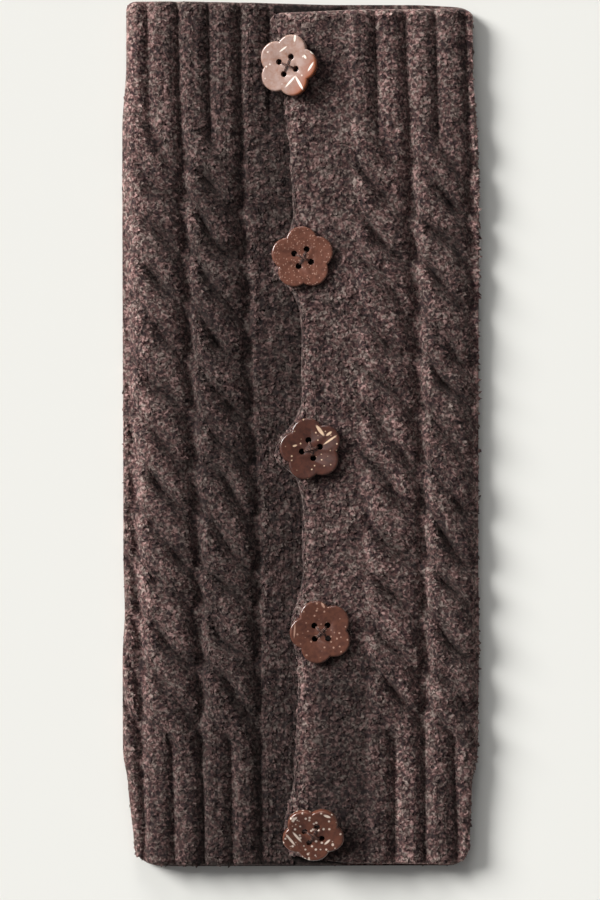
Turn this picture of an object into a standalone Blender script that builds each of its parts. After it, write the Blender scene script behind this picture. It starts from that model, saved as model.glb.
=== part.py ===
"""One knitted leg warmer, laid flat and buttoned down the front.

It is one wrap panel of felted wool, knitted in a single piece: a ribbed cuff above and below, rope
cables between the cuffs, and a plain band along each long edge. The panel is folded flat at both
sides. In front its right edge laps over its left edge, and five flower-shaped coconut-shell buttons
close it. X runs across the leg warmer, Y up to its top hem, and Z out of the surface that it lies on,
with the origin under the middle of the back.

Sizes are in millimetres and become metres when the meshes are made. "down" is always the distance
below the top hem, measured along the leg warmer.
"""

from math import asin, cos, exp, hypot, pi, radians, sin, sqrt
from typing import NamedTuple

import bmesh
import bpy

MM = 0.001

# Driving sizes of the leg warmer
LENGTH = 303.0
BACK_WALL = 3.0
PLAIN_WALL = 2.7
LAYER_GAP = 0.3

# The knit's thickness over its plain inside
GROOVE_WALL = 2.2
RIB_CREST = 4.3
ROPE_CREST = 5.8
ROPE_DIP = 3.5

# Rope cables: the strands cross at one even pitch, all at the same heights
FIRST_CROSSING = 46.2
CROSSING_PITCH = 17.8
CROSSING_LEAN = 0.92
TOP_CUFF_END = 41.0
BOTTOM_CUFF_START = 259.0
CUFF_BLEND = 9.0

# Heights of the layers' insides: the fronts lie on the back, and the flap lies on the left front
FRONT_FLOOR = BACK_WALL + LAYER_GAP
FLAP_FLOOR = FRONT_FLOOR + PLAIN_WALL + LAYER_GAP
FLAP_TOP = FLAP_FLOOR + PLAIN_WALL

# The lap of the fronts: the left front's edge is hidden under the flap
UNDER_EDGE = 14.0
LAP_END = 14.6
LAP_SLOPE = 6.5
RIDGE_RISE = 0.8
RIDGE_WIDTH = 3.4
UNDER_EDGE_WIDTH = 2.5

# The side folds
FOLD_WALL = 2.8
FOLD_ROUND = 4.5
FOLD_UNDERSIDE_ROUND = 3.5
FOLD_MIDDLE = 3.6

# The hems: the wall thins over their last stretch, and their corners are round
HEM_ROUND = 1.3
HEM_SHARE = 0.6

# How finely the wall is divided
ROPE_STRIPS = 9
ROPE_ROW = 3.3
CUFF_ROWS = 3
BACK_STRIPS = 6

# Coconut-shell buttons: five round petals and four sewing holes
PETALS = 5
PETAL_RADIUS = 5.6
PETAL_REACH = 5.4
PETAL_STEPS = 6
BUTTON_THICKNESS = 2.4
BUTTON_RIM_BEVEL = 0.6
HOLE_RADIUS = 1.05
HOLE_SPACING = 4.6
HOLE_SIDES = 10
BUTTON_REACH = PETAL_REACH + PETAL_RADIUS
PULL_SPREAD = 9.0


class Sides(NamedTuple):
    """Where the two side folds lie, at one height."""

    down: float
    left_fold: float
    right_fold: float


class Wales(NamedTuple):
    """Where the grooves between the cables lie, at one height; the knit drifts right on its way down."""

    down: float
    rope_1_left: float
    ropes_1_2: float
    rope_2_right: float
    rope_3_left: float
    ropes_3_4: float
    rope_4_right: float
    flap_edge: float


class Hem(NamedTuple):
    """How far a layer's hem stops short of the leg warmer's end, at one place across it."""

    across: float
    short: float


class Button(NamedTuple):
    """One button: its centre, the turn of its petals and holes, its tilt, its cut and its pull."""

    across: float
    down: float
    petal_turn: float
    hole_turn: float
    tilt_down: float
    tilt_left: float
    width_share: float
    height_share: float
    edge_pull: float


SIDES = (
    Sides(0.0, -61.1, 60.4),
    Sides(21.0, -61.1, 60.4),
    Sides(42.0, -62.5, 61.8),
    Sides(63.0, -62.5, 62.5),
    Sides(200.0, -62.1, 62.3),
    Sides(218.0, -61.6, 62.5),
    Sides(235.0, -62.4, 62.5),
    Sides(268.0, -62.3, 62.1),
    Sides(280.0, -60.5, 60.1),
    Sides(303.0, -58.3, 59.3),
)

WALES = (
    Wales(0.0, -64.6, -43.2, -21.5, 15.4, 36.2, 57.6, -10.5),
    Wales(31.0, -64.0, -42.7, -21.2, 16.0, 37.3, 58.3, -5.4),
    Wales(66.0, -62.5, -41.1, -20.4, 17.3, 38.7, 59.3, -2.6),
    Wales(111.0, -61.1, -39.7, -19.0, 18.3, 40.0, 60.2, 0.5),
    Wales(192.0, -57.9, -36.6, -15.6, 20.5, 42.2, 61.8, 1.3),
    Wales(245.0, -56.2, -34.8, -14.6, 21.9, 43.6, 63.0, -1.0),
    Wales(303.0, -53.4, -32.0, -12.4, 21.9, 42.5, 65.6, -3.0),
)

BACK_TOP = (Hem(-60.0, 1.0), Hem(40.0, 1.1), Hem(60.0, 2.0))
LEFT_TOP = (Hem(-40.0, 0.0), Hem(-22.0, 0.3), Hem(14.0, 1.2))
FLAP_TOP_HEM = (Hem(-10.0, 5.2), Hem(-1.0, 4.3), Hem(27.0, 3.4), Hem(60.0, 3.0))
BACK_BOTTOM = (Hem(-40.0, 0.0), Hem(60.0, 0.3))
LEFT_BOTTOM = (Hem(-60.0, 0.3), Hem(14.0, 0.6))
FLAP_BOTTOM_HEM = (Hem(-8.0, 2.4), Hem(-2.0, 4.2), Hem(6.0, 2.6), Hem(19.0, 1.2), Hem(60.0, 0.6))

# Round corners of the hems: how far each reaches across, and how far along the side
TOP_LEFT_CORNER = (3.5, 3.0)
TOP_RIGHT_CORNER = (6.0, 3.4)
BOTTOM_LEFT_CORNER = (10.0, 7.0)
BOTTOM_RIGHT_CORNER = (7.0, 7.5)

BUTTONS = (
    Button(-4.1, 23.0, 75.0, 22.0, 0.0, 14.0, 0.95, 1.0, 0.0),
    Button(0.7, 90.0, 93.0, 19.0, 0.0, 0.0, 1.0, 1.0, 8.8),
    Button(3.7, 156.8, 103.0, 60.0, 0.0, 3.0, 1.0, 1.0, 9.7),
    Button(7.2, 220.5, 111.0, 2.0, 3.0, 0.0, 1.0, 1.02, 3.1),
    Button(4.4, 290.5, 128.0, 21.0, 20.0, 0.0, 1.0, 0.9, 2.9),
)


def clear_objects():
    for old in list(bpy.data.objects):
        bpy.data.objects.remove(old, do_unlink=True)


def material(name, colour, roughness, metallic):
    made = bpy.data.materials.new(name)
    made.use_nodes = True
    shader = made.node_tree.nodes["Principled BSDF"]
    shader.inputs["Base Color"].default_value = (*colour, 1.0)
    shader.inputs["Roughness"].default_value = roughness
    shader.inputs["Metallic"].default_value = metallic
    return made


def object_from(bm, name, finish):
    mesh = bpy.data.meshes.new(name)
    bm.to_mesh(mesh)
    bm.free()
    mesh.materials.append(finish)
    mesh.shade_smooth()
    mesh.set_sharp_from_angle(angle=radians(50))
    made = bpy.data.objects.new(name, mesh)
    bpy.context.scene.collection.objects.link(made)
    return made


def smooth(share):
    """An eased step from 0 to 1."""
    share = min(max(share, 0.0), 1.0)
    return share * share * (3.0 - 2.0 * share)


def read_table(table, at, column):
    """A value between a table's rows, on a smooth curve through them; the first column is the place."""
    if at <= table[0][0]:
        return getattr(table[0], column)
    for before, after in zip(table, table[1:]):
        if at <= after[0]:
            share = smooth((at - before[0]) / (after[0] - before[0]))
            straight = (at - before[0]) / (after[0] - before[0])
            eased = 0.5 * (share + straight)
            start = getattr(before, column)
            return start + (getattr(after, column) - start) * eased
    return getattr(table[-1], column)


def wales_at(down):
    return Wales(*(read_table(WALES, down, column) for column in Wales._fields))


def evenly(start, end, steps):
    """The places from start to end, without the end itself."""
    return [start + (end - start) * step / steps for step in range(steps)]


def flap_edge(down):
    """Each button draws the flap's edge to the left, over the left front."""
    pulled = sum(
        button.edge_pull * exp(-(((down - button.down) / PULL_SPREAD) ** 2)) for button in BUTTONS
    )
    return read_table(WALES, down, "flap_edge") - pulled


def arch(share, power=2.4):
    """A round ridge, 0 at both sides and 1 in the middle."""
    return 1.0 - abs(2.0 * share - 1.0) ** power


def lean(share):
    """How late a crossing comes at a place across the rope; it runs into both side grooves."""
    return sin(asin(2.0 * share - 1.0) / 3.0)


def cable_share(down):
    """0 in the ribbed cuffs and 1 where the ribs have become ropes."""
    into = smooth((down - TOP_CUFF_END) / CUFF_BLEND + 0.5)
    out = smooth((BOTTOM_CUFF_START - down) / CUFF_BLEND + 0.5)
    return into * out


def rope_wall(share, down):
    """The wall's thickness across one rope cable, which is two ribs in the cuffs."""
    rib = GROOVE_WALL + (RIB_CREST - GROOVE_WALL) * arch((2.0 * share) % 1.0)
    turn = ((down - FIRST_CROSSING) / CROSSING_PITCH - CROSSING_LEAN * lean(share)) % 1.0
    strand = ROPE_DIP + (ROPE_CREST - ROPE_DIP) * arch(turn)
    rope = GROOVE_WALL + (strand - GROOVE_WALL) * arch(share, 4.0)
    return rib + (rope - rib) * cable_share(down)


def front_wall(across, down):
    """The fronts' thickness, away from their edges."""
    wales = wales_at(down)
    rope_width = wales.ropes_1_2 - wales.rope_1_left
    ropes = (
        (wales.rope_1_left - rope_width, wales.rope_1_left),
        (wales.rope_1_left, wales.ropes_1_2),
        (wales.ropes_1_2, wales.rope_2_right),
        (wales.rope_3_left, wales.ropes_3_4),
        (wales.ropes_3_4, wales.rope_4_right),
        (wales.rope_4_right, wales.rope_4_right + rope_width),
    )
    for left, right in ropes:
        if left < across <= right:
            return rope_wall((across - left) / (right - left), down)
    return PLAIN_WALL


def flap_edge_wall(inset, down):
    """The flap's rolled edge; a button presses it flat."""
    press = max(1.0 - smooth((abs(down - button.down) - 10.0) / 5.0) for button in BUTTONS)
    if inset < 0.6:
        return PLAIN_WALL * (0.4 + 0.5 * inset / 0.6)
    if inset < RIDGE_WIDTH:
        return PLAIN_WALL + RIDGE_RISE * arch((inset - 0.2) / RIDGE_WIDTH) * (1.0 - press)
    return PLAIN_WALL


def flap_floor(across):
    """The inside of the right front: it lies on the left front, then comes down to the back."""
    down_the_step = smooth((across - LAP_END) / LAP_SLOPE)
    return FLAP_FLOOR - (FLAP_FLOOR - FRONT_FLOOR) * down_the_step


def fold_round(inset, reach):
    """A side fold's round, 0 at the outline and 1 where the layer is flat again."""
    return sqrt(1.0 - (1.0 - min(inset / reach, 1.0)) ** 2)


def corner_short(inset, corner):
    """How much a round corner takes off a hem, at a distance in from the side fold."""
    across, along = corner
    return along * (1.0 - sqrt(1.0 - (1.0 - min(inset / across, 1.0)) ** 2))


class WallPoint(NamedTuple):
    """One place on the way round the panel: its skin, its inside, and how short its hems stop."""

    skin_x: float
    skin_z: float
    inside_x: float
    inside_z: float
    top_short: float
    bottom_short: float


def hem_shorts(across, sides, top, bottom):
    """How far the wall stops short at the top and the bottom hem, with the round corners."""
    left_inset = max(across - sides.left_fold, 0.0)
    right_inset = max(sides.right_fold - across, 0.0)
    top_short = read_table(top, across, "short")
    top_short += corner_short(left_inset, TOP_LEFT_CORNER) + corner_short(right_inset, TOP_RIGHT_CORNER)
    bottom_short = read_table(bottom, across, "short")
    bottom_short += corner_short(left_inset, BOTTOM_LEFT_CORNER)
    bottom_short += corner_short(right_inset, BOTTOM_RIGHT_CORNER)
    return top_short, bottom_short


def right_front(down, sides):
    """The wall from the flap's edge to the right fold."""
    wales = wales_at(down)
    edge = flap_edge(down)
    fold = sides.right_fold
    last_groove = min(wales.rope_4_right, fold - 0.6 * FOLD_ROUND)
    places = [edge, edge + 0.5, edge + 1.7]
    places += evenly(edge + RIDGE_WIDTH, LAP_END, 3)
    places += [LAP_END]
    places += evenly(wales.rope_3_left, wales.ropes_3_4, ROPE_STRIPS)
    places += evenly(wales.ropes_3_4, last_groove, ROPE_STRIPS - 1)
    places += [fold - (fold - last_groove) * share for share in (1.0, 0.6, 0.3, 0.1, 0.0)]
    points = []
    for place in places:
        inset = place - edge
        wall = flap_edge_wall(inset, down) if inset < RIDGE_WIDTH else front_wall(place, down)
        floor = flap_floor(place)
        full = floor + wall
        skin_z = FOLD_MIDDLE + (full - FOLD_MIDDLE) * fold_round(fold - place, FOLD_ROUND)
        inside_x = min(place, fold - FOLD_WALL)
        shorts = hem_shorts(place, sides, FLAP_TOP_HEM, FLAP_BOTTOM_HEM)
        points.append(WallPoint(place, skin_z, inside_x, flap_floor(inside_x), *shorts))
    return points


def back(sides):
    """The back's wall, flat underneath, from the right fold to the left one."""
    insets = (0.4, 1.5, FOLD_UNDERSIDE_ROUND, 6.0)
    flat_start = sides.left_fold + BOTTOM_LEFT_CORNER[0]
    flat_end = sides.right_fold - BOTTOM_LEFT_CORNER[0]
    places = [sides.right_fold - inset for inset in insets]
    places += evenly(flat_end, flat_start, BACK_STRIPS) + [flat_start]
    places += [sides.left_fold + inset for inset in reversed(insets)]
    points = []
    for place in places:
        inset = min(place - sides.left_fold, sides.right_fold - place)
        skin_z = FOLD_MIDDLE * (1.0 - fold_round(inset, FOLD_UNDERSIDE_ROUND))
        inside_x = min(max(place, sides.left_fold + FOLD_WALL), sides.right_fold - FOLD_WALL)
        shorts = hem_shorts(place, sides, BACK_TOP, BACK_BOTTOM)
        points.append(WallPoint(place, skin_z, inside_x, BACK_WALL, *shorts))
    return points


def left_front(down, sides):
    """The wall from the left fold to the edge that the flap hides."""
    wales = wales_at(down)
    fold = sides.left_fold
    first_groove = max(wales.rope_1_left, fold + 0.6 * FOLD_ROUND)
    places = [fold + (first_groove - fold) * share for share in (0.0, 0.1, 0.3, 0.6)]
    places += evenly(first_groove, wales.ropes_1_2, ROPE_STRIPS - 1)
    places += evenly(wales.ropes_1_2, wales.rope_2_right, ROPE_STRIPS)
    places += [wales.rope_2_right, wales.rope_2_right + 2.2]
    places += [UNDER_EDGE - UNDER_EDGE_WIDTH, UNDER_EDGE - 0.6, UNDER_EDGE]
    points = []
    for place in places:
        wall = front_wall(place, down)
        if place > UNDER_EDGE - UNDER_EDGE_WIDTH:
            wall = PLAIN_WALL * (0.5 + 0.45 * (UNDER_EDGE - place) / 0.6)
        full = FRONT_FLOOR + wall
        skin_z = FOLD_MIDDLE + (full - FOLD_MIDDLE) * fold_round(place - fold, FOLD_ROUND)
        inside_x = max(place, fold + FOLD_WALL)
        shorts = hem_shorts(place, sides, LEFT_TOP, LEFT_BOTTOM)
        points.append(WallPoint(place, skin_z, inside_x, FRONT_FLOOR, *shorts))
    return points


def panel_rows():
    """The heights of the panel's cross-sections: few in the straight cuffs, many on the cables."""
    cables_start = TOP_CUFF_END - CUFF_BLEND
    cables_end = BOTTOM_CUFF_START + CUFF_BLEND
    cable_rows = round((cables_end - cables_start) / ROPE_ROW)
    rows = [0.0]
    rows += evenly(HEM_ROUND, cables_start, CUFF_ROWS)
    rows += evenly(cables_start, cables_end, cable_rows)
    rows += evenly(cables_end, LENGTH - HEM_ROUND, CUFF_ROWS)
    rows += [LENGTH - HEM_ROUND, LENGTH]
    return rows


def add_row(bm, down):
    """One cross-section's skin and inside vertices, on the way round the panel."""
    sides = Sides(down, read_table(SIDES, down, "left_fold"), read_table(SIDES, down, "right_fold"))
    share = down / LENGTH
    at_hem = down in (0.0, LENGTH)
    skin = []
    inside = []
    for point in right_front(down, sides) + back(sides) + left_front(down, sides):
        span = LENGTH - point.top_short - point.bottom_short
        y = LENGTH / 2 - (point.top_short + span * share)
        skin_z = point.skin_z
        if at_hem:
            skin_z = point.inside_z + (skin_z - point.inside_z) * HEM_SHARE
        skin.append(bm.verts.new((point.skin_x * MM, y * MM, skin_z * MM)))
        inside.append(bm.verts.new((point.inside_x * MM, y * MM, point.inside_z * MM)))
    return skin, inside


def make_wrap_panel(finish):
    """The whole knit, one closed wall: its skin, its inside, two hems and two long edges."""
    bm = bmesh.new()
    rows = [add_row(bm, down) for down in panel_rows()]
    for (skin, inside), (skin_below, inside_below) in zip(rows, rows[1:]):
        for here, there in zip(range(len(skin)), range(1, len(skin))):
            bm.faces.new((skin[here], skin_below[here], skin_below[there], skin[there]))
            bm.faces.new((inside[here], inside[there], inside_below[there], inside_below[here]))
        bm.faces.new((skin[0], inside[0], inside_below[0], skin_below[0]))
        bm.faces.new((skin[-1], skin_below[-1], inside_below[-1], inside[-1]))
    top_skin, top_inside = rows[0]
    low_skin, low_inside = rows[-1]
    for here, there in zip(range(len(top_skin)), range(1, len(top_skin))):
        bm.faces.new((top_skin[here], top_skin[there], top_inside[there], top_inside[here]))
        bm.faces.new((low_skin[here], low_inside[here], low_inside[there], low_skin[there]))
    make_flats_plain(bm)
    bmesh.ops.recalc_face_normals(bm, faces=bm.faces)
    bmesh.ops.triangulate(bm, faces=bm.faces, quad_method="FIXED", ngon_method="BEAUTY")
    return object_from(bm, "wrap_panel", finish)


def make_flats_plain(bm):
    """Joins the points that meet in the folds, and the flat faces of the inside and the underside."""
    bmesh.ops.remove_doubles(bm, verts=bm.verts, dist=1e-7)
    floors = [floor * MM for floor in (0.0, BACK_WALL, FRONT_FLOOR, FLAP_FLOOR)]
    faces = []
    for face in bm.faces:
        heights = [vert.co.z for vert in face.verts]
        if any(max(abs(height - floor) for height in heights) < 1e-7 for floor in floors):
            faces.append(face)
    edges = list({edge for face in faces for edge in face.edges})
    verts = list({vert for face in faces for vert in face.verts})
    bmesh.ops.dissolve_limit(bm, angle_limit=radians(0.2), verts=verts, edges=edges)


def flower_outline(button):
    """The button's outline: round petals that meet in notches."""
    notch_angle = pi / PETALS
    notch = PETAL_REACH * cos(notch_angle) + sqrt(PETAL_RADIUS**2 - (PETAL_REACH * sin(notch_angle)) ** 2)
    sweep = pi / 2 - asin((notch * cos(notch_angle) - PETAL_REACH) / PETAL_RADIUS)
    outline = []
    for petal in range(PETALS):
        turn = radians(button.petal_turn) + 2.0 * pi * petal / PETALS
        for step in range(PETAL_STEPS):
            angle = turn + sweep * (2.0 * step / PETAL_STEPS - 1.0)
            x = PETAL_REACH * cos(turn) + PETAL_RADIUS * cos(angle)
            y = PETAL_REACH * sin(turn) + PETAL_RADIUS * sin(angle)
            outline.append((x * button.width_share, y * button.height_share))
    return outline


def button_seat(button):
    """The height of the middle of a button's underside, with its low side just clear of the flap."""
    low_reach = BUTTON_REACH * button.height_share * sin(radians(button.tilt_down))
    edges = [flap_edge(button.down + step) for step in (-BUTTON_REACH, 0.0, BUTTON_REACH)]
    to_edge = min(button.across - min(edges), BUTTON_REACH)
    low_reach += to_edge * sin(radians(button.tilt_left))
    return FLAP_TOP + LAYER_GAP + low_reach


def hole_cutter(name, button, place, tilt):
    """Four round pins that cut a button's sewing holes."""
    bm = bmesh.new()
    for corner in range(4):
        turn = radians(button.hole_turn) + pi / 4 + corner * pi / 2
        reach = hypot(HOLE_SPACING, HOLE_SPACING) / 2
        pin = bmesh.ops.create_cone(
            bm,
            cap_ends=True,
            segments=HOLE_SIDES,
            radius1=HOLE_RADIUS * MM,
            radius2=HOLE_RADIUS * MM,
            depth=3.0 * BUTTON_THICKNESS * MM,
        )
        middle = (reach * cos(turn) * MM, reach * sin(turn) * MM, BUTTON_THICKNESS / 2 * MM)
        bmesh.ops.translate(bm, verts=pin["verts"], vec=middle)
    mesh = bpy.data.meshes.new(name)
    bm.to_mesh(mesh)
    bm.free()
    cutter = bpy.data.objects.new(name, mesh)
    cutter.location = place
    cutter.rotation_euler = tilt
    cutter.hide_render = True
    cutter.display_type = "WIRE"
    bpy.context.scene.collection.objects.link(cutter)
    return cutter


def make_button(name, button, finish):
    """A flat flower with a rounded upper rim and four holes, tilted as it lies on the flap."""
    bm = bmesh.new()
    base = bm.faces.new([bm.verts.new((x * MM, y * MM, 0.0)) for x, y in flower_outline(button)])
    raised = bmesh.ops.extrude_face_region(bm, geom=[base])
    top_verts = [item for item in raised["geom"] if isinstance(item, bmesh.types.BMVert)]
    top_faces = [item for item in raised["geom"] if isinstance(item, bmesh.types.BMFace)]
    bmesh.ops.translate(bm, verts=top_verts, vec=(0.0, 0.0, BUTTON_THICKNESS * MM))
    rim = list(top_faces[0].edges)
    bmesh.ops.bevel(bm, geom=rim, offset=BUTTON_RIM_BEVEL * MM, segments=1, affect="EDGES")
    bmesh.ops.recalc_face_normals(bm, faces=bm.faces)
    made = object_from(bm, name, finish)
    made.location = (
        button.across * MM,
        (LENGTH / 2 - button.down) * MM,
        button_seat(button) * MM,
    )
    made.rotation_euler = (radians(button.tilt_down), -radians(button.tilt_left), 0.0)
    cutter = hole_cutter(name + "_holes", button, made.location, made.rotation_euler)
    holes = made.modifiers.new("sewing_holes", "BOOLEAN")
    holes.operation = "DIFFERENCE"
    holes.object = cutter
    return made


def build_leg_warmer():
    clear_objects()
    wool = material("felted_heather_wool", (0.075, 0.052, 0.045), 0.95, 0.0)
    coconut = material("polished_coconut_shell", (0.23, 0.09, 0.055), 0.35, 0.0)
    make_wrap_panel(wool)
    for number, button in enumerate(BUTTONS, start=1):
        make_button(f"button_{number}", button, coconut)


build_leg_warmer()
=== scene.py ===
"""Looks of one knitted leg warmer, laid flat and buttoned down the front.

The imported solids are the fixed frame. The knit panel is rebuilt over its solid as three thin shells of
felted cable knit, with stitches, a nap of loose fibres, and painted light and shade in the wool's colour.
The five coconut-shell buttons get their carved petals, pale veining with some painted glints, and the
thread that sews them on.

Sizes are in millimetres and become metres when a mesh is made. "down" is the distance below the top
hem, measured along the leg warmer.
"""

import logging
from dataclasses import dataclass, fields
from enum import Enum
from math import cos, hypot, pi, radians, sin
from typing import Callable, NamedTuple, Sequence

import bmesh
import bpy
import numpy as np
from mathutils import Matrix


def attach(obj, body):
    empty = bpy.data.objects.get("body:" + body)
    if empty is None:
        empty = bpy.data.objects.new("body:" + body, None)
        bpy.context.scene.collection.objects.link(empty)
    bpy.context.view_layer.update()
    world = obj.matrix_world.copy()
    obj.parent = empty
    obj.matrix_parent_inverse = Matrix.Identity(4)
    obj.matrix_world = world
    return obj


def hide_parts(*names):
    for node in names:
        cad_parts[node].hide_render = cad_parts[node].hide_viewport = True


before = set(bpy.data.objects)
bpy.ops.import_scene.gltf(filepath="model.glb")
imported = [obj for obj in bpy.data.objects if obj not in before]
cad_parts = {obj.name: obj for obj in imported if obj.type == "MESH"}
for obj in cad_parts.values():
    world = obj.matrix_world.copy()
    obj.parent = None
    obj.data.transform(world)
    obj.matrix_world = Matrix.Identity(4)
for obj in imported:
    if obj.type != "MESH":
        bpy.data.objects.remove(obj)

Grid = np.ndarray
Material = bpy.types.Material
Mesh = bpy.types.Mesh
Node = bpy.types.Node
Piece = bpy.types.Object
Socket = bpy.types.NodeSocket
Tree = bpy.types.NodeTree
EdgeTest = Callable[[bmesh.types.BMEdge], bool]

LOG = logging.getLogger("leg_warmer")
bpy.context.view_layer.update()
MM = 0.001
SEED = 1694
TINY = 1e-6
BAKE_EDGE = 0.01
BAKE_HALF = 0.48
BAKE_WHOLE = 0.98
BAKE_SKIN = 0.88
BAKE_ABOVE = 0.91
BAKE_INSIDE = 0.07
WAVE_SCALE = 20.0
KNIT_SHARP = radians(70.0)
SHELL_SHARP = radians(32.0)
ROW_BODY = "root"
PANEL_NODE = "wrap_panel"


class Sides(NamedTuple):
    """Where the two side folds lie, at one height."""

    down: float
    left_fold: float
    right_fold: float


class Wales(NamedTuple):
    """Where the grooves between the cables lie, at one height."""

    down: float
    rope_1_left: float
    ropes_1_2: float
    rope_2_right: float
    rope_3_left: float
    ropes_3_4: float
    rope_4_right: float
    flap_edge: float


class Hem(NamedTuple):
    """How far a layer's hem stops short of the leg warmer's end, at one place across it."""

    across: float
    short: float


class ButtonPlace(NamedTuple):
    """One button: its centre, the turn of its petals and holes, its tilt, its cut and its pull."""

    across: float
    down: float
    petal_turn: float
    hole_turn: float
    tilt_down: float
    tilt_left: float
    width_share: float
    height_share: float
    edge_pull: float


class PaintedShading(NamedTuple):
    """Painted light and shade at one place across or down: the share that the wool's colour is multiplied by.
    """

    place: float
    share: float


class VeinAndGlint(NamedTuple):
    """A pale line on a button's face, drawn the same way for the shell's veining and for painted glints: its
    middle from the button's centre, its turn and its size.
    """

    across: float
    up: float
    turn: float
    length: float
    width: float


class Sun(NamedTuple):
    """A far lamp: its name, its strength, and its lean from straight above and turn in degrees."""

    name: str
    strength: float
    lean: float
    turn: float


class Corner(NamedTuple):
    """A round corner: how far it takes the hem in, and how far from the fold it starts."""

    short: float
    reach: float


class Lumps(NamedTuple):
    """One size of unevenness: its strength, the size of a lump in millimetres, and its seed."""

    strength: float
    cell: float
    seed: int

    def at(self, across: Grid, down: Grid) -> Grid:
        """Its value at each place."""
        return self.strength * soft_noise(across, down, self.cell, self.seed)


SIDES = (
    Sides(0.0, -61.1, 60.4),
    Sides(21.0, -61.1, 60.4),
    Sides(42.0, -62.5, 61.8),
    Sides(63.0, -62.5, 62.5),
    Sides(200.0, -62.1, 62.3),
    Sides(218.0, -61.6, 62.5),
    Sides(235.0, -62.4, 62.5),
    Sides(268.0, -62.3, 62.1),
    Sides(280.0, -60.5, 60.1),
    Sides(303.0, -58.3, 59.3),
)

WALES = (
    Wales(0.0, -64.6, -43.2, -21.5, 15.4, 36.2, 57.6, -10.5),
    Wales(31.0, -64.0, -42.7, -21.2, 16.0, 37.3, 58.3, -5.4),
    Wales(66.0, -62.5, -41.1, -20.4, 17.3, 38.7, 59.3, -2.6),
    Wales(111.0, -61.1, -39.3, -18.4, 18.3, 40.7, 60.7, 0.2),
    Wales(192.0, -57.9, -36.2, -15.0, 20.5, 43.0, 62.5, 0.9),
    Wales(245.0, -56.2, -34.8, -14.6, 21.9, 43.6, 63.0, -1.0),
    Wales(303.0, -54.6, -33.6, -14.2, 22.4, 43.2, 66.3, -3.0),
)

BACK_TOP = (Hem(-60.0, 1.0), Hem(40.0, 1.1), Hem(60.0, 2.0))
LEFT_TOP = (Hem(-40.0, 0.0), Hem(-22.0, 0.3), Hem(14.0, 1.2))
FLAP_TOP_HEM = (
    Hem(-10.6, 6.6),
    Hem(-9.4, 5.0),
    Hem(-7.0, 4.2),
    Hem(-1.0, 3.9),
    Hem(27.0, 2.8),
    Hem(60.0, 2.3),
)
BACK_BOTTOM = (Hem(-40.0, 0.0), Hem(60.0, 0.3))
LEFT_BOTTOM = (Hem(-60.0, 0.3), Hem(14.0, 0.6))
FLAP_BOTTOM_HEM = (Hem(-8.0, 2.4), Hem(-2.0, 4.2), Hem(6.0, 2.6), Hem(19.0, 1.2), Hem(60.0, 0.6))
TOP_CORNERS = (Corner(3.0, 3.5), Corner(3.4, 6.0))
BOTTOM_CORNERS = (Corner(7.0, 10.0), Corner(7.5, 7.0))

FOLD_INSETS = (0.0, 0.06, 0.25, 0.55, 1.0, 1.6, 2.4, 3.4, 4.5)
EDGE_INSETS = (0.0, 0.12, 0.4, 0.8, 1.4, 2.1, 2.9, 3.8)
FOLD_STEPS = (1,) * (len(FOLD_INSETS) - 1)
EDGE_STEPS = (1,) * (len(EDGE_INSETS) - 1)

NAP_COUNTS = {"knit_back": 20000, "knit_left_front": 30000, "knit_right_front": 32000}
FIBRE_FACES = ((0, 3, 1), (0, 2, 3), (2, 4, 3))
FIBRE_MAP = ((0.25, 0.25), (0.75, 0.25), (0.25, 0.5), (0.75, 0.5), (0.5, 0.8))

BUTTONS = (
    ButtonPlace(-4.1, 23.0, 75.0, 22.0, 0.0, 14.0, 0.95, 1.0, 0.0),
    ButtonPlace(0.7, 90.0, 93.0, 19.0, 0.0, 0.0, 1.0, 1.0, 8.8),
    ButtonPlace(3.7, 156.8, 103.0, 60.0, 0.0, 3.0, 1.0, 1.0, 9.7),
    ButtonPlace(7.2, 220.5, 111.0, 2.0, 3.0, 0.0, 1.0, 1.02, 3.1),
    ButtonPlace(4.4, 290.5, 128.0, 21.0, 20.0, 0.0, 1.0, 0.9, 2.9),
)

# Painted light and shade across the fronts: brightest at the left fold, darkest towards the placket under the
# flap, and rising and falling across the flap's ropes.
LEFT_PAINTED_SHADING = (
    PaintedShading(-62.0, 1.35),
    PaintedShading(-56.0, 1.25),
    PaintedShading(-51.0, 0.8),
    PaintedShading(-40.0, 0.66),
    PaintedShading(-35.0, 0.46),
    PaintedShading(-24.0, 0.56),
    PaintedShading(-14.0, 0.42),
    PaintedShading(0.0, 0.32),
)
RIGHT_PAINTED_SHADING = (
    PaintedShading(-6.0, 1.1),
    PaintedShading(0.0, 1.0),
    PaintedShading(7.0, 0.7),
    PaintedShading(18.0, 0.84),
    PaintedShading(34.0, 1.2),
    PaintedShading(42.0, 0.9),
    PaintedShading(50.0, 0.76),
    PaintedShading(62.0, 0.8),
)
# Painted light and shade down the fronts: lighter at the left top cuff, and darker towards the bottom on both
# fronts.
LEFT_DOWN_PAINTED_SHADING = (
    PaintedShading(0.0, 1.12),
    PaintedShading(90.0, 1.0),
    PaintedShading(230.0, 1.0),
    PaintedShading(270.0, 0.8),
    PaintedShading(303.0, 0.74),
)
RIGHT_DOWN_PAINTED_SHADING = (PaintedShading(0.0, 0.94), PaintedShading(60.0, 1.0), PaintedShading(235.0, 1.0), PaintedShading(303.0, 0.86))


def smooth(share: Grid) -> Grid:
    """An eased step from 0 to 1."""
    share = np.clip(share, 0.0, 1.0)
    return share * share * (3.0 - 2.0 * share)


def arch(share: Grid, power: float = 2.4) -> Grid:
    """A round ridge, 0 at both sides and 1 in the middle."""
    return 1.0 - np.abs(2.0 * share - 1.0) ** power


def quarter_round(inset: Grid, reach: float) -> Grid:
    """A quarter circle, 0 at an outline and 1 from the reach inwards."""
    return np.sqrt(1.0 - (1.0 - np.clip(inset / reach, 0.0, 1.0)) ** 2)


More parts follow.
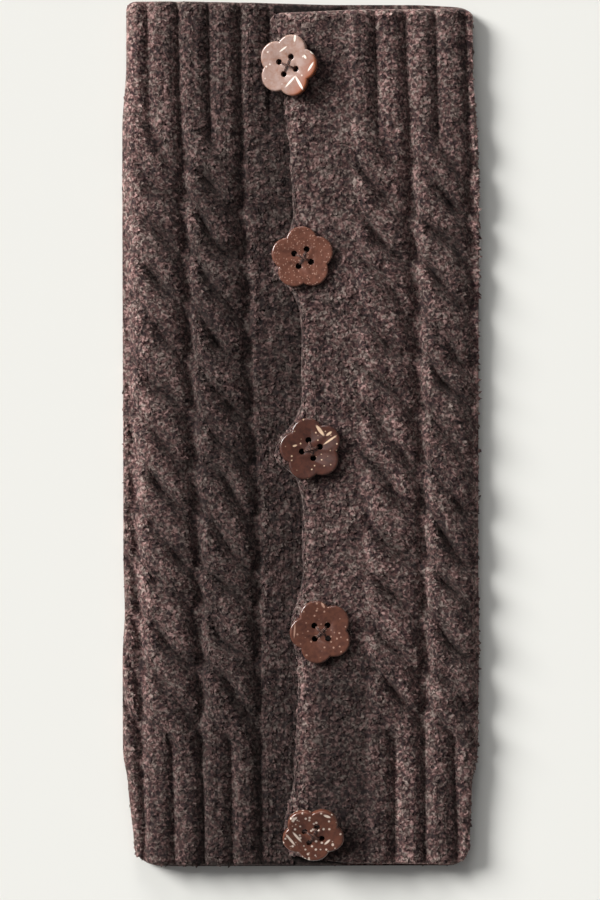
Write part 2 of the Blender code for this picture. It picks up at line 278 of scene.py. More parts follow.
def read_table(table: Sequence[NamedTuple], column: str, at: Grid) -> Grid:
    """Reads a table between its rows, on a smooth curve through them.

    Args:
        table: rows whose first field is the place.
        column: the field to read.
        at: the places.

    Returns:
        The values at those places.
    """
    places = np.array([row[0] for row in table])
    values = np.array([getattr(row, column) for row in table])
    before = np.clip(np.searchsorted(places, at, side="right") - 1, 0, len(places) - 2)
    straight = np.clip((at - places[before]) / (places[before + 1] - places[before]), 0.0, 1.0)
    eased = 0.5 * (smooth(straight) + straight)
    return values[before] + (values[before + 1] - values[before]) * eased


def soft_noise(x: Grid, y: Grid, cell: float, seed: int) -> Grid:
    """Smooth seeded unevenness from -1 to 1.

    Args:
        x: places across, in millimetres.
        y: places down, in millimetres.
        cell: the size of one lump, in millimetres.
        seed: which unevenness.

    Returns:
        A value for each place.
    """
    size = 512
    lattice = np.random.default_rng(SEED + seed).uniform(-1.0, 1.0, (size, size))
    u = x / cell + size / 4
    v = y / cell + size / 4
    column = np.floor(u).astype(int)
    row = np.floor(v).astype(int)
    s = smooth(u - column)
    t = smooth(v - row)
    left, right = column % size, (column + 1) % size
    upper, lower = row % size, (row + 1) % size
    top = lattice[upper, left] * (1.0 - s) + lattice[upper, right] * s
    bottom = lattice[lower, left] * (1.0 - s) + lattice[lower, right] * s
    return top * (1.0 - t) + bottom * t


def blurred(field: Grid, reach: int) -> Grid:
    """The mean of a grid over a square of cells about each one, with its edges repeated."""
    width = 2 * reach + 1
    for axis in (0, 1):
        pads = [(reach + 1, reach) if side == axis else (0, 0) for side in (0, 1)]
        total = np.cumsum(np.pad(field, pads, mode="edge"), axis=axis)
        count = total.shape[axis]
        ahead = np.take(total, range(width, count), axis=axis)
        behind = np.take(total, range(0, count - width), axis=axis)
        field = (ahead - behind) / width
    return field


@dataclass
class Relief:
    """The knit's surface at a grid of places.

    wall is the thickness, wale and course count the stitches across and down, heading is the turn of the
    stitch columns from straight down towards +X, stitches is how clearly they show, and gap is near 1
    between two strands of a rope.
    """

    wall: Grid
    wale: Grid
    course: Grid
    heading: Grid
    stitches: Grid
    gap: Grid


@dataclass(frozen=True)
class KnitForm:
    """The form of the laid knit panel, in millimetres, after its solid and with finer relief."""

    length: float = 303.0
    back_wall: float = 3.0
    plain_wall: float = 2.7
    layer_gap: float = 0.3
    groove_wall: float = 1.0
    groove_spread: float = 1.5
    rib_crest: float = 4.15
    rib_base: float = 1.7
    rib_reach: float = 5.2
    rib_power: float = 2.6
    rib_side_power: int = 12
    rope_crest: float = 6.0
    rope_peak: float = 0.42
    rope_margin: float = 0.2
    rise_power: float = 3.6
    dive_power: float = 4.2
    strand_round: float = 3.0
    strand_power: float = 1.7
    strand_least: float = 0.1
    bulge_least: float = 0.3
    strand_gap: float = 1.0
    strand_end: float = 0.09
    strand_wales: int = 4
    strand_wander: Lumps = Lumps(0.22, 14.0, 4)
    gap_spread: float = 0.25
    gap_wander: Lumps = Lumps(0.45, 9.0, 5)
    deep_start: float = -0.12
    deep_rise: float = 0.5
    deep_end: float = 1.06
    deep_fall: float = 0.3
    merging_end: float = 0.2
    merging_start: float = 0.1
    merging_span: float = 0.45
    floor_softness: float = 0.3
    first_crossing: float = 46.2
    crossing_pitch: float = 17.8
    crossing_lean: float = 1.35
    crossings: int = 12
    cable_start: float = 0.15
    cable_ease: float = 0.5
    under_edge: float = 14.0
    lap_end: float = 12.0
    lap_slope: float = 28.0
    ridge_rise: float = 0.4
    ridge_width: float = 6.5
    ridge_press: float = 0.8
    press_start: float = 9.0
    press_ease: float = 6.0
    edge_round: float = 2.6
    edge_wander: Lumps = Lumps(0.35, 2.6, 6)
    fold_wall: float = 2.8
    fold_round: float = 4.5
    fold_middle: float = 3.6
    underside_round: float = 3.5
    hem_round: float = 2.0
    hem_least: float = 0.3
    pull_spread: float = 9.0
    wale_pitch: float = 2.8
    course_pitch: float = 2.1
    stitch_depth: float = 0.3
    stitch_slant: float = 0.55
    stitch_least: float = 0.45
    side_stitches: float = 0.4
    felt_lumps: tuple[Lumps, ...] = (Lumps(0.3, 11.0, 1), Lumps(0.2, 4.0, 2), Lumps(0.16, 1.5, 3))
    slot_rib_width: float = 9.6
    slot_rib_rise: float = 1.1
    slot_rib_span: float = 1.15
    slot_rib_groove: float = 0.5
    slot_rib_end: float = 26.0
    slot_rib_fade: float = 26.0
    back_rope_width: float = 20.6
    back_relief: float = 0.42
    back_depth: float = 1.7
    back_crush: float = 0.6
    back_start: float = 1.0
    back_ease: float = 4.0
    past_flap: float = 2.0
    hidden_ease: float = 1.5
    under_ease: float = 1.2
    under_least: float = 0.45
    edge_least: float = 0.3
    button_press: float = 0.55
    button_spread: float = 10.0
    puff: float = 1.3
    flap_puff: float = 0.8

    @property
    def front_floor(self) -> float:
        """Height of the fronts' inside, where they lie on the back."""
        return self.back_wall + self.layer_gap

    @property
    def flap_floor_top(self) -> float:
        """Height of the flap's inside, where it lies on the left front."""
        return self.front_floor + self.plain_wall + self.layer_gap

    @property
    def flap_top(self) -> float:
        """Height of the plain flap's skin."""
        return self.flap_floor_top + self.plain_wall

    def flap_edge(self, down: Grid) -> Grid:
        """The flap's edge, which each button draws to the left."""
        pulled = sum(
            place.edge_pull * np.exp(-(((down - place.down) / self.pull_spread) ** 2))
            for place in BUTTONS
        )
        return read_table(WALES, "flap_edge", down) - pulled

    def flap_floor(self, across: Grid) -> Grid:
        """The right front's inside: it lies on the left front, then comes down to the back."""
        fall = self.flap_floor_top - self.front_floor
        return self.flap_floor_top - fall * smooth((across - self.lap_end) / self.lap_slope)

    def round_fold(self, full: Grid, to_fold: Grid) -> Grid:
        """A front's height, which comes down to the middle of the fold's edge."""
        return self.fold_middle + (full - self.fold_middle) * quarter_round(to_fold, self.fold_round)

    def ridge(self, inset: Grid, down: Grid) -> Grid:
        """The ridge along the flap's rolled edge, which each button presses flat."""
        near = [smooth((np.abs(down - place.down) - self.press_start) / self.press_ease) for place in BUTTONS]
        pressed = self.ridge_press * (1.0 - np.min(near, axis=0))
        return self.ridge_rise * arch(np.clip(inset / self.ridge_width, 0.0, 1.0)) * (1.0 - pressed)

    def cuff_ribs(self, share: Grid, place: Grid) -> Grid:
        """The wall of the two ribs that a rope ends in.

        Args:
            share: the share of the rope's width.
            place: the distance from each rib's middle.

        Returns:
            The wall's thickness.
        """
        rounded = 1.0 - np.abs(place / self.rib_reach) ** self.rib_power
        side = np.abs(2.0 * share - 1.0) ** self.rib_side_power
        ribs = self.rib_base + (self.rib_crest - self.rib_base) * rounded
        return ribs - (self.rib_base - self.groove_wall) * side

    def strand_envelope(self, share: Grid, turn: Grid, margin: Grid, merging: float) -> Grid:
        """A strand's height along it: 0 where it comes up and where it dives, and 1 at its peak.

        Args:
            share: the share of the rope's width.
            turn: the place across the strand, from 0 to 1.
            margin: the share that the groove beside the rope takes.
            merging: 1 if the rope's left side merges into plain knit.

        Returns:
            The height from 0 to 1.
        """
        end = (2.0 * turn - 1.0) ** 2
        left_end = margin + (self.strand_end + (self.merging_end - self.strand_end) * merging) * end
        right_end = margin + self.strand_end * end
        side = np.clip((share - left_end) / (1.0 - left_end - right_end), 0.0, 1.0)
        rising = side < self.rope_peak
        dived = (side - self.rope_peak) / (1.0 - self.rope_peak)
        from_peak = np.where(rising, 1.0 - side / self.rope_peak, dived)
        return 1.0 - from_peak ** np.where(rising, self.rise_power, self.dive_power)

    def rope(self, across: Grid, down: Grid, left: Grid, right: Grid, merging: float) -> Relief:
        """One rope cable: two ribs in the cuffs, and between them strands that cross it one after another.

        Each strand comes up at the rope's left side, runs down to the right over the next one and dives
        at the right side, so the hollows between strands are deepest right of the middle.

        Args:
            across: places across.
            down: places down.
            left: where the rope's left side is.
            right: where its right side is.
            merging: 1 if its left side merges into plain knit.

        Returns:
            Its relief.
        """
        width = right - left
        share = np.clip((across - left) / width, 0.0, 1.0)
        rib_place = ((2.0 * share) % 1.0 - 0.5) * 0.5 * width
        ribs = self.cuff_ribs(share, rib_place)
        passed = (down - self.first_crossing) / self.crossing_pitch - self.crossing_lean * (share - 0.5)
        passed = passed + self.strand_wander.at(across, down)
        to_last = self.crossings + self.cable_start - passed
        cable = smooth((passed + self.cable_start) / self.cable_ease) * smooth(to_last / self.cable_ease)
        turn = passed % 1.0
        gap = np.exp(-((np.minimum(turn, 1.0 - turn) / self.gap_spread) ** 2))
        deep = smooth((share - self.deep_start) / self.deep_rise)
        deep = deep * smooth((self.deep_end - share) / self.deep_fall)
        deep = deep * (1.0 + self.gap_wander.at(across, down))
        bulge = self.strand_round * (self.bulge_least + (1.0 - self.bulge_least) * deep)
        bulge = bulge * np.abs(2.0 * turn - 1.0) ** self.strand_power
        crest = self.rope_crest - bulge - self.strand_gap * deep * gap
        envelope = self.strand_envelope(share, turn, self.rope_margin / width, merging)
        strand = self.groove_wall + np.maximum(crest - self.groove_wall, self.strand_least) * envelope
        fall = self.crossing_pitch * self.crossing_lean
        in_cable = cable > 0.5
        wale = np.where(in_cable, turn * self.strand_wales, rib_place / self.wale_pitch)
        course = np.where(in_cable, share * np.hypot(width, fall), down) / self.course_pitch
        clear = self.side_stitches + (1.0 - self.side_stitches) * arch(share, 4.0)
        clear = clear * np.abs(2.0 * cable - 1.0)
        heading = np.arctan2(width, fall) * cable
        open_gap = cable * gap * np.clip(deep, 0.0, 1.2)
        return Relief(ribs + (strand - ribs) * cable, wale, course, heading, clear, open_gap)

    def plain(self, across: Grid, down: Grid) -> Relief:
        """Plain knit, with its stitch columns straight down."""
        level = np.full_like(across, self.plain_wall)
        none = np.zeros_like(across)
        return Relief(level, across / self.wale_pitch, down / self.course_pitch, none, none + 1.0, none)

    def with_ropes(self, relief: Relief, across: Grid, down: Grid, lines: Sequence) -> Relief:
        """Puts rope cables into a relief.

        Args:
            relief: the plain relief.
            across: places across.
            down: places down.
            lines: for each rope its left and right grids, and 1 if its left side merges into plain knit.

        Returns:
            The relief with the ropes in it, and a soft groove beside each.
        """
        values = [getattr(relief, field.name) for field in fields(Relief)]
        sink = np.zeros_like(across)
        between_ropes = np.ones(across.shape, dtype=bool)
        for left, right, merging in lines:
            inside = (across > left) & (across <= right)
            share = np.clip((across - left) / (right - left), 0.0, 1.0)
            rope = self.rope(across, down, left, right, merging)
            merged = merging * (1.0 - smooth((share - self.merging_start) / self.merging_span))
            floor = self.groove_wall + (self.plain_wall - self.groove_wall) * merged
            above = rope.wall - floor
            rope.wall = floor + 0.5 * (above + np.sqrt(above * above + self.floor_softness))
            found = [getattr(rope, field.name) for field in fields(Relief)]
            values = [np.where(inside, new, old) for new, old in zip(found, values)]
            outside = np.maximum(left - across, across - right)
            beside = np.exp(-((outside / self.groove_spread) ** 2)) * (1.0 - merging * (across <= left))
            sink = np.maximum(sink, (self.plain_wall - self.groove_wall) * beside)
            between_ropes &= ~inside
        values[0] = np.where(between_ropes, values[0] - sink, values[0])
        return Relief(*values)

    def front(self, across: Grid, down: Grid) -> Relief:
        """The fronts' relief away from their edges: the plain bands, ropes and ribs.

        Args:
            across: places across.
            down: places down.

        Returns:
            Its relief.
        """
        line = {name: read_table(WALES, name, down) for name in Wales._fields}
        width = line["ropes_1_2"] - line["rope_1_left"]
        lines = (
            (line["rope_1_left"] - width, line["rope_1_left"], 0.0),
            (line["rope_1_left"], line["ropes_1_2"], 0.0),
            (line["ropes_1_2"], line["rope_2_right"], 0.0),
            (line["rope_3_left"], line["ropes_3_4"], 1.0),
            (line["ropes_3_4"], line["rope_4_right"], 0.0),
            (line["rope_4_right"], line["rope_4_right"] + width, 0.0),
        )
        relief = self.with_ropes(self.plain(across, down), across, down, lines)
        rib_share = (across - line["rope_2_right"]) / self.slot_rib_width
        in_rib = (rib_share > 0.0) & (rib_share < self.slot_rib_span)
        cuff = 1.0 - smooth((down - self.slot_rib_end) / self.slot_rib_fade)
        rise = self.slot_rib_rise * arch(np.clip(rib_share, 0.0, 1.0))
        rise = rise - self.slot_rib_groove * (rib_share > 1.0)
        relief.wall = relief.wall + np.where(in_rib, rise, 0.0) * cuff
        return relief

    def stitch(self, relief: Relief) -> Grid:
        """Height of the knit stitches: two slanting legs in each column, one pair in each row.

        Args:
            relief: the knit's relief, with its stitch counts.

        Returns:
            The height, above and below 0.
        """
        across = relief.wale % 1.0
        leg = arch((2.0 * across) % 1.0, 2.0)
        slant = (relief.course + self.stitch_slant * np.abs(2.0 * across - 1.0)) % 1.0
        height = leg * (self.stitch_least + (1.0 - self.stitch_least) * arch(slant, 2.0))
        return self.stitch_depth * relief.stitches * (height - 0.5)

    def uneven(self, across: Grid, down: Grid) -> Grid:
        """Lumps that felting leaves in the knit."""
        return sum(lumps.at(across, down) for lumps in self.felt_lumps)

    def pressed(self, across: Grid, down: Grid) -> Grid:
        """How far the sewn buttons press the knit in about them."""
        total = 0.0 * across
        for place in BUTTONS:
            far = np.hypot(across - place.across, down - place.down)
            total = total + self.button_press * np.exp(-((far / self.button_spread) ** 4))
        return total


@dataclass(frozen=True)
class PaintedLightAndShade:
    """Painted light and shade in the wool's colour, standing in for how the light falls and where the knit is
    covered.

    Each painted shade field is the share of its tone that the wool loses, each share is what is left of it
    under painted shade, and each painted light or highlight is what is added to it. Starts, sides, edges,
    reaches and eases are in millimetres.
    """

    form: KnitForm
    # Painted shade in the hollows and between strands, under the flap, low on the flap, at the flap's edge
    # and under the buttons; painted light at the right fold and along the flap's hems.
    hollow_painted_shade: float = 0.1
    gap_painted_shade: float = 0.4
    inside_share: float = 0.22
    inside_start: float = 0.5
    inside_ease: float = 0.9
    low_painted_shade: float = 0.55
    low_start: float = 215.0
    low_ease: float = 25.0
    low_side: float = 22.0
    low_side_ease: float = 14.0
    low_edge: float = 4.5
    fold_painted_light: float = 1.1
    fold_reach: float = 4.5
    edge_share: float = 0.75
    edge_start: float = 0.3
    edge_ease: float = 1.4
    top_painted_highlight: float = 0.6
    top_reach: float = 1.5
    bottom_painted_highlight: float = 1.5
    bottom_reach: float = 1.8
    covered_share: float = 0.2
    covered_reach: float = 6.5

    def inside(self, down: Grid) -> Grid:
        """Painted shade on the covered knit: as light as the rest at a hem, and dark a little further in."""
        to_hem = np.minimum(down, self.form.length - down)
        return 1.0 - (1.0 - self.inside_share) * smooth((to_hem - self.inside_start) / self.inside_ease)

    def left_front(self, across: Grid, down: Grid, hidden: Grid) -> Grid:
        """The left front's painted light and shade, with painted shade where the flap hides it."""
        shade = read_table(LEFT_PAINTED_SHADING, "share", across) * read_table(LEFT_DOWN_PAINTED_SHADING, "share", down)
        return shade * (1.0 - (1.0 - self.inside(down)) * hidden)

    def right_front(self, across: Grid, down: Grid, inset: Grid, to_fold: Grid) -> Grid:
        """The right front's painted light and shade: painted shade low down, at the flap's edge and under the
        buttons, and painted light at its fold and hems.

        Args:
            across: places across.
            down: places down.
            inset: the distance from the flap's edge.
            to_fold: the distance to the right fold.

        Returns:
            The share of the wool's tone.
        """
        shade = read_table(RIGHT_PAINTED_SHADING, "share", across) * read_table(RIGHT_DOWN_PAINTED_SHADING, "share", down)
        # Painted shade low on the flap, painted light at the right fold, painted shade at the flap's edge,
        # painted highlights along the top and bottom hems, and painted shade under the buttons.
        low = smooth((down - self.low_start) / self.low_ease)
        low = low * (1.0 - smooth((across - self.low_side) / self.low_side_ease))
        low = low * smooth((inset - self.low_edge) / self.low_edge)
        fold = self.fold_painted_light * (1.0 - smooth(to_fold / self.fold_reach))
        edge = (1.0 - self.edge_share) * smooth((inset - self.edge_start) / self.edge_ease)
        top = self.top_painted_highlight * np.exp(-((down / self.top_reach) ** 2))
        bottom = self.bottom_painted_highlight * np.exp(-(((self.form.length - down) / self.bottom_reach) ** 2))
        far = [np.hypot(across - place.across, down - place.down) for place in BUTTONS]
        covered = np.exp(-((np.min(far, axis=0) / self.covered_reach) ** 4))
        shade = shade * (1.0 - self.low_painted_shade * low) * (1.0 + fold) * (self.edge_share + edge)
        return shade * (1.0 + top) * (1.0 + bottom) * (1.0 - (1.0 - self.covered_share) * covered)

    def in_relief(self, shade: Grid, relief: Relief, hollow: Grid) -> Grid:
        """Paints shade into a layer's tone in its hollows and in the gaps between strands."""
        return shade * (1.0 - self.hollow_painted_shade * hollow) * (1.0 - self.gap_painted_shade * relief.gap)


class Layer(Enum):
    """The three stretches of the panel between its folds and edges."""

    BACK = "knit_back"
    LEFT_FRONT = "knit_left_front"
    RIGHT_FRONT = "knit_right_front"


@dataclass
class Laid:
    """One layer as laid, before its hems are rounded: the places and heights of its skin and inside.

    cover is where nap shows, shade is the painted light and shade in the wool's colour, hems are the
    tables of its top and bottom, and outward is 1 if it faces up and -1 if it faces down.
    """

    across: Grid
    down: Grid
    heights: Grid
    inside_x: Grid
    inside_z: Grid
    relief: Relief
    cover: Grid
    shade: Grid
    hems: tuple
    outward: float = 1.0


@dataclass
class Skin:
    """The outer surface of one layer as a grid, with the inside that goes with it.

    points and inside are (rows, columns, 3) in millimetres, heading is the turn of the stitch columns,
    hollow is above 0 in grooves and below 0 on crests, leg is the side of the stitch column, cover is
    where nap shows, and shade and inner_shade are the painted light and shade in the wool's colour
    outside and inside.
    """

    points: Grid
    inside: Grid
    heading: Grid
    hollow: Grid
    leg: Grid
    cover: Grid
    shade: Grid
    inner_shade: Grid
    outward: float


def linear(code: str) -> tuple[float, float, float, float]:
    """An sRGB hex colour as linear red, green, blue and alpha."""
    parts = [int(code[start : start + 2], 16) / 255.0 for start in (1, 3, 5)]
    turned = [part / 12.92 if part <= 0.04045 else ((part + 0.055) / 1.055) ** 2.4 for part in parts]
    return (*turned, 1.0)


def add_node(tree: Tree, kind: str, inputs: dict | None = None, **settings: object) -> Node:
    """Adds one node to a material.

    Args:
        tree: the material's nodes.
        kind: the node's type name.
        inputs: for each input, by name or number, the socket linked to it or its value.
        **settings: the node's own settings.

    Returns:
        The node.
    """
    node = tree.nodes.new(kind)
    for name, value in settings.items():
        setattr(node, name, value)
    for name, value in (inputs or {}).items():
        if isinstance(value, bpy.types.NodeSocket):
            tree.links.new(value, node.inputs[name])
        else:
            node.inputs[name].default_value = value
    return node


def new_material(name: str) -> tuple[Material, Tree, Node]:
    """A material with its nodes and its Principled shader."""
    made = bpy.data.materials.new(name)
    made.use_nodes = True
    return made, made.node_tree, made.node_tree.nodes["Principled BSDF"]


def colour_ramp(tree: Tree, factor: Socket, stops: Sequence[tuple[float, str]]) -> Socket:
    """Colours a value.

    Args:
        tree: the material's nodes.
        factor: the value from 0 to 1.
        stops: (place, sRGB hex) in rising order.

    Returns:
        The colour.
    """
    ramp = add_node(tree, "ShaderNodeValToRGB", {"Fac": factor})
    elements = ramp.color_ramp.elements
    while len(elements) < len(stops):
        elements.new(0.5)
    for element, (place, code) in zip(elements, stops):
        element.position = place
        element.color = linear(code)
    return ramp.outputs["Color"]


def map_range(tree: Tree, value: Socket, ends: tuple[float, float], results: tuple[float, float]) -> Socket:
    """Maps a value that runs between two ends to one that runs between two results."""
    inputs = {"Value": value, **dict(enumerate((*ends, *results), start=1))}
    return add_node(tree, "ShaderNodeMapRange", inputs).outputs["Result"]


def finish_shader(
    tree: Tree, shader: Node, colour: Socket, height: Socket, values: dict, **bump: float
) -> None:
    """Links a shader's colour and bump and sets its other values.

    Args:
        tree: the material's nodes.
        shader: its shader.
        colour: the colour.
        height: the height that the bump raises, from 0 to 1.
        values: the shader's other inputs by name.
        **bump: depth in millimetres, and strength.
    """
    tree.links.new(colour, shader.inputs["Base Color"])
    inputs = {"Height": height, "Distance": bump["depth"] * MM, "Strength": bump["strength"]}
    tree.links.new(add_node(tree, "ShaderNodeBump", inputs).outputs["Normal"], shader.inputs["Normal"])
    for name, value in values.items():
        shader.inputs[name].default_value = value


def add_piece(name: str, data: object) -> Piece:
    """Puts an object with its data into the scene."""
    piece = bpy.data.objects.new(name, data)
    bpy.context.scene.collection.objects.link(piece)
    return piece


def corner_vertices(mesh: Mesh) -> Grid:
    """The vertex at each face corner of a mesh."""
    corners = np.empty(len(mesh.loops), dtype=np.int32)
    mesh.loops.foreach_get("vertex_index", corners)
    return corners


def set_bake_map(mesh: Mesh, places: Grid) -> None:
    """Gives a mesh its bake map, from the place of each face corner."""
    bake_map = mesh.uv_layers.new(name="OFBake")
    bake_map.data.foreach_set("uv", places.astype(np.float32).reshape(-1))


def set_values(mesh: Mesh, name: str, values: Grid) -> None:
    """Gives each vertex of a mesh a value of that name."""
    attribute = mesh.attributes.new(name, "FLOAT", "POINT")
    attribute.data.foreach_set("value", values.astype(np.float32))


@dataclass(frozen=True)
class HeatherWool:
    """Felted heather wool yarn: undyed dark and pale fibres spun together, then fulled.

    It is matt, with short pale and dark flecks that lean to red or to grey, and a soft bright rim where
    the nap is seen edge on.
    """

    tones: tuple[tuple[float, str], ...] = (
        (0.0, "#18110f"),
        (0.3, "#36282a"),
        (0.52, "#5c4945"),
        (0.72, "#8b7772"),
        (1.0, "#b8a099"),
    )
    tints: tuple[tuple[float, str], ...] = ((0.4, "#eef6f2"), (0.6, "#ffeeee"))
    sheen_tint: str = "#d8c4bb"
    fleck: float = 1.2
    fleck_share: float = 1.0
    fleck_warp: float = 0.9
    mottle: float = 6.0
    mottle_share: float = 0.3
    hue: float = 1.5
    bump_depth: float = 0.25
    bump_strength: float = 0.25
    roughness: float = 0.92
    sheen: float = 0.3
    sheen_roughness: float = 0.45
    specular: float = 0.2

    def noise(self, tree: Tree, place: Socket, size: float, warp: float = 0.0) -> Socket:
        """Unevenness of one size in millimetres, from 0 to 1."""
        inputs = {"Vector": place, "Scale": 1.0 / (size * MM), "Detail": 0.0, "Distortion": warp}
        return add_node(tree, "ShaderNodeTexNoise", inputs).outputs["Fac"]

    def own_value(self, tree: Tree, name: str) -> Socket:
        """The value of that name that a piece's vertices keep."""
        return add_node(tree, "ShaderNodeAttribute", attribute_name=name).outputs["Fac"]

    def material(self) -> Material:
        """Makes the finish of the knit and of its loose fibres, which share it.

        Returns:
            The material. It reads painted light and shade from "shade" and a fibre's own tone from "fibre".
        """
        made, tree, shader = new_material("felted_heather_wool")
        place = add_node(tree, "ShaderNodeTexCoord").outputs["Object"]
        fleck = self.noise(tree, place, self.fleck, self.fleck_warp)
        mottle = self.noise(tree, place, self.mottle)
        middle = 0.5 - 0.5 * (self.fleck_share + self.mottle_share)
        inputs = {0: self.own_value(tree, "fibre"), 1: middle}
        tone = add_node(tree, "ShaderNodeMath", inputs, operation="ADD").outputs["Value"]
        for part, share in ((fleck, self.fleck_share), (mottle, self.mottle_share)):
            inputs = {0: part, 1: share, 2: tone}
            tone = add_node(tree, "ShaderNodeMath", inputs, operation="MULTIPLY_ADD").outputs["Value"]
        colour = colour_ramp(tree, tone, self.tones)
        tint = colour_ramp(tree, self.noise(tree, place, self.hue), self.tints)
        # The second factor is the painted light and shade kept as "shade".
        for factor in (tint, self.own_value(tree, "shade")):
            inputs = {"Color1": colour, "Color2": factor, "Fac": 1.0}
            colour = add_node(tree, "ShaderNodeMixRGB", inputs, blend_type="MULTIPLY").outputs["Color"]
        values = {
            "Roughness": self.roughness,
            "Sheen Weight": self.sheen,
            "Sheen Roughness": self.sheen_roughness,
            "Sheen Tint": linear(self.sheen_tint),
            "Specular IOR Level": self.specular,
        }
        bump = {"depth": self.bump_depth, "strength": self.bump_strength}
        finish_shader(tree, shader, colour, fleck, values, **bump)
        return made


@dataclass
class WrapPanel:
    """The knit panel as three closed thin shells, which meet at the side folds."""

    form: KnitForm
    # Paints light and shade into the wool's colour.
    tone: PaintedLightAndShade
    wool: Material
    fine_row: float = 0.56
    back_row: float = 0.95
    hem_rows: tuple[float, ...] = (0.0, 0.12, 0.35, 0.7, 1.2)
    first_row: float = 1.8
    left_columns: tuple[int, ...] = (33, 40, 38, 8)
    right_columns: tuple[int, ...] = (32, 40, 36)
    back_columns: int = 122
    inside_rows: int = 12
    hem_row: int = 6
    inside_columns: int = 6
    wide_reach: int = 7
    wide_depth: float = 1.1
    near_depth: float = 0.6
    crest_most: float = -0.7
    hollow_most: float = 1.5
    hem_cover: float = 0.15
    hem_ease: float = 2.5
    bottom_bare: float = 0.6
    fold_cover: float = 0.25
    cover_ease: float = 1.8
    edge_nap: float = 2.0

    def rows(self, spacing: float) -> Grid:
        """The heights of the grid's rows, closer at the hems.

        Args:
            spacing: the distance between rows away from the hems.

        Returns:
            The distance of each row below the top hem.
        """
        hem = np.array(self.hem_rows)
        end = self.form.length - self.first_row
        middle = np.linspace(self.first_row, end, round((end - self.first_row) / spacing))
        return np.concatenate([hem, middle, (self.form.length - hem)[::-1]])

    @staticmethod
    def between(rows: Grid, lines: Sequence[Grid], counts: Sequence[int]) -> tuple[Grid, Grid]:
        """A grid of places, evenly spaced between lines that run down the cloth.

        Args:
            rows: the heights of the rows.
            lines: where each line is at each height.
            counts: the steps from each line to the next.

        Returns:
            The places across and down.
        """
        parts = [
            start[:, None] + (end - start)[:, None] * np.arange(count) / count
            for start, end, count in zip(lines, lines[1:], counts)
        ]
        across = np.concatenate([*parts, lines[-1][:, None]], axis=1)
        return across, np.broadcast_to(rows[:, None], across.shape)

    def hem_short(self, laid: Laid, hem: Sequence[Hem], corners: Sequence[Corner]) -> Grid:
        """How far the cloth stops short at one hem.

        Args:
            laid: the layer.
            hem: the hem's table.
            corners: its left and its right corner.

        Returns:
            The distance at each place.
        """
        left = np.maximum(laid.across - read_table(SIDES, "left_fold", laid.down), 0.0)
        right = np.maximum(read_table(SIDES, "right_fold", laid.down) - laid.across, 0.0)
        short = read_table(hem, "short", laid.across)
        for inset, corner in zip((left, right), corners):
            short = short + corner.short * (1.0 - quarter_round(inset, corner.reach))
        return short

    def lengthwise(self, laid: Laid) -> Grid:
        """The y of each place.

        Args:
            laid: the layer.

        Returns:
            The y, in millimetres.
        """
        ends = zip(laid.hems, (TOP_CORNERS, BOTTOM_CORNERS))
        top, bottom = (self.hem_short(laid, hem, corners) for hem, corners in ends)
        length = self.form.length
        return length / 2 - (top + (length - top - bottom) * laid.down / length)

    def nap_cover(self, laid: Laid, to_hem: Grid) -> Grid:
        """Where nap shows: less at the hems and folds.

        Args:
            laid: the layer.
            to_hem: the distance to the nearer hem.

        Returns:
            How much nap each place has.
        """
        left = laid.across - read_table(SIDES, "left_fold", laid.down)
        right = read_table(SIDES, "right_fold", laid.down) - laid.across
        at_hem = self.hem_cover + (1.0 - self.hem_cover) * smooth(to_hem / self.hem_ease)
        above_bottom = smooth((self.form.length - laid.down - self.bottom_bare) / self.cover_ease)
        to_fold = np.minimum(left, right)
        at_fold = self.fold_cover + (1.0 - self.fold_cover) * smooth(to_fold / self.cover_ease)
        return laid.cover * at_hem * above_bottom * at_fold

    def skin(self, laid: Laid) -> Skin:
        """Rounds a layer's hems, and finds its hollows, its painted light and shade and where its nap shows.

        Args:
            laid: the layer.

        Returns:
            The layer's skin.
        """
        form = self.form
        to_hem = np.minimum(laid.down, form.length - laid.down)
        rounded = form.hem_least + (1.0 - form.hem_least) * quarter_round(to_hem, form.hem_round)
        skin_z = laid.inside_z + (laid.heights - laid.inside_z) * rounded
        y = self.lengthwise(laid)
        lofty = laid.outward * skin_z
        wide = blurred(blurred(lofty, self.wide_reach), self.wide_reach) - lofty
        near = blurred(lofty, 1) - lofty
        hollow = np.clip(wide / self.wide_depth + near / self.near_depth, self.crest_most, self.hollow_most)
        # Painted shade in the hollows and in the gaps between strands.
        shade = self.tone.in_relief(laid.shade, laid.relief, hollow)
        return Skin(
            points=np.stack([laid.across, y, skin_z], axis=-1),
            inside=np.stack([laid.inside_x, y, laid.inside_z], axis=-1),
            heading=laid.relief.heading,
            hollow=hollow,
            leg=np.where((laid.relief.wale % 1.0) < 0.5, 1.0, -1.0),
            cover=self.nap_cover(laid, to_hem),
            shade=shade,
            # inner_shade adds painted shade on the covered inside, away from the hems.
            inner_shade=shade * self.tone.inside(laid.down),
            outward=laid.outward,
        )

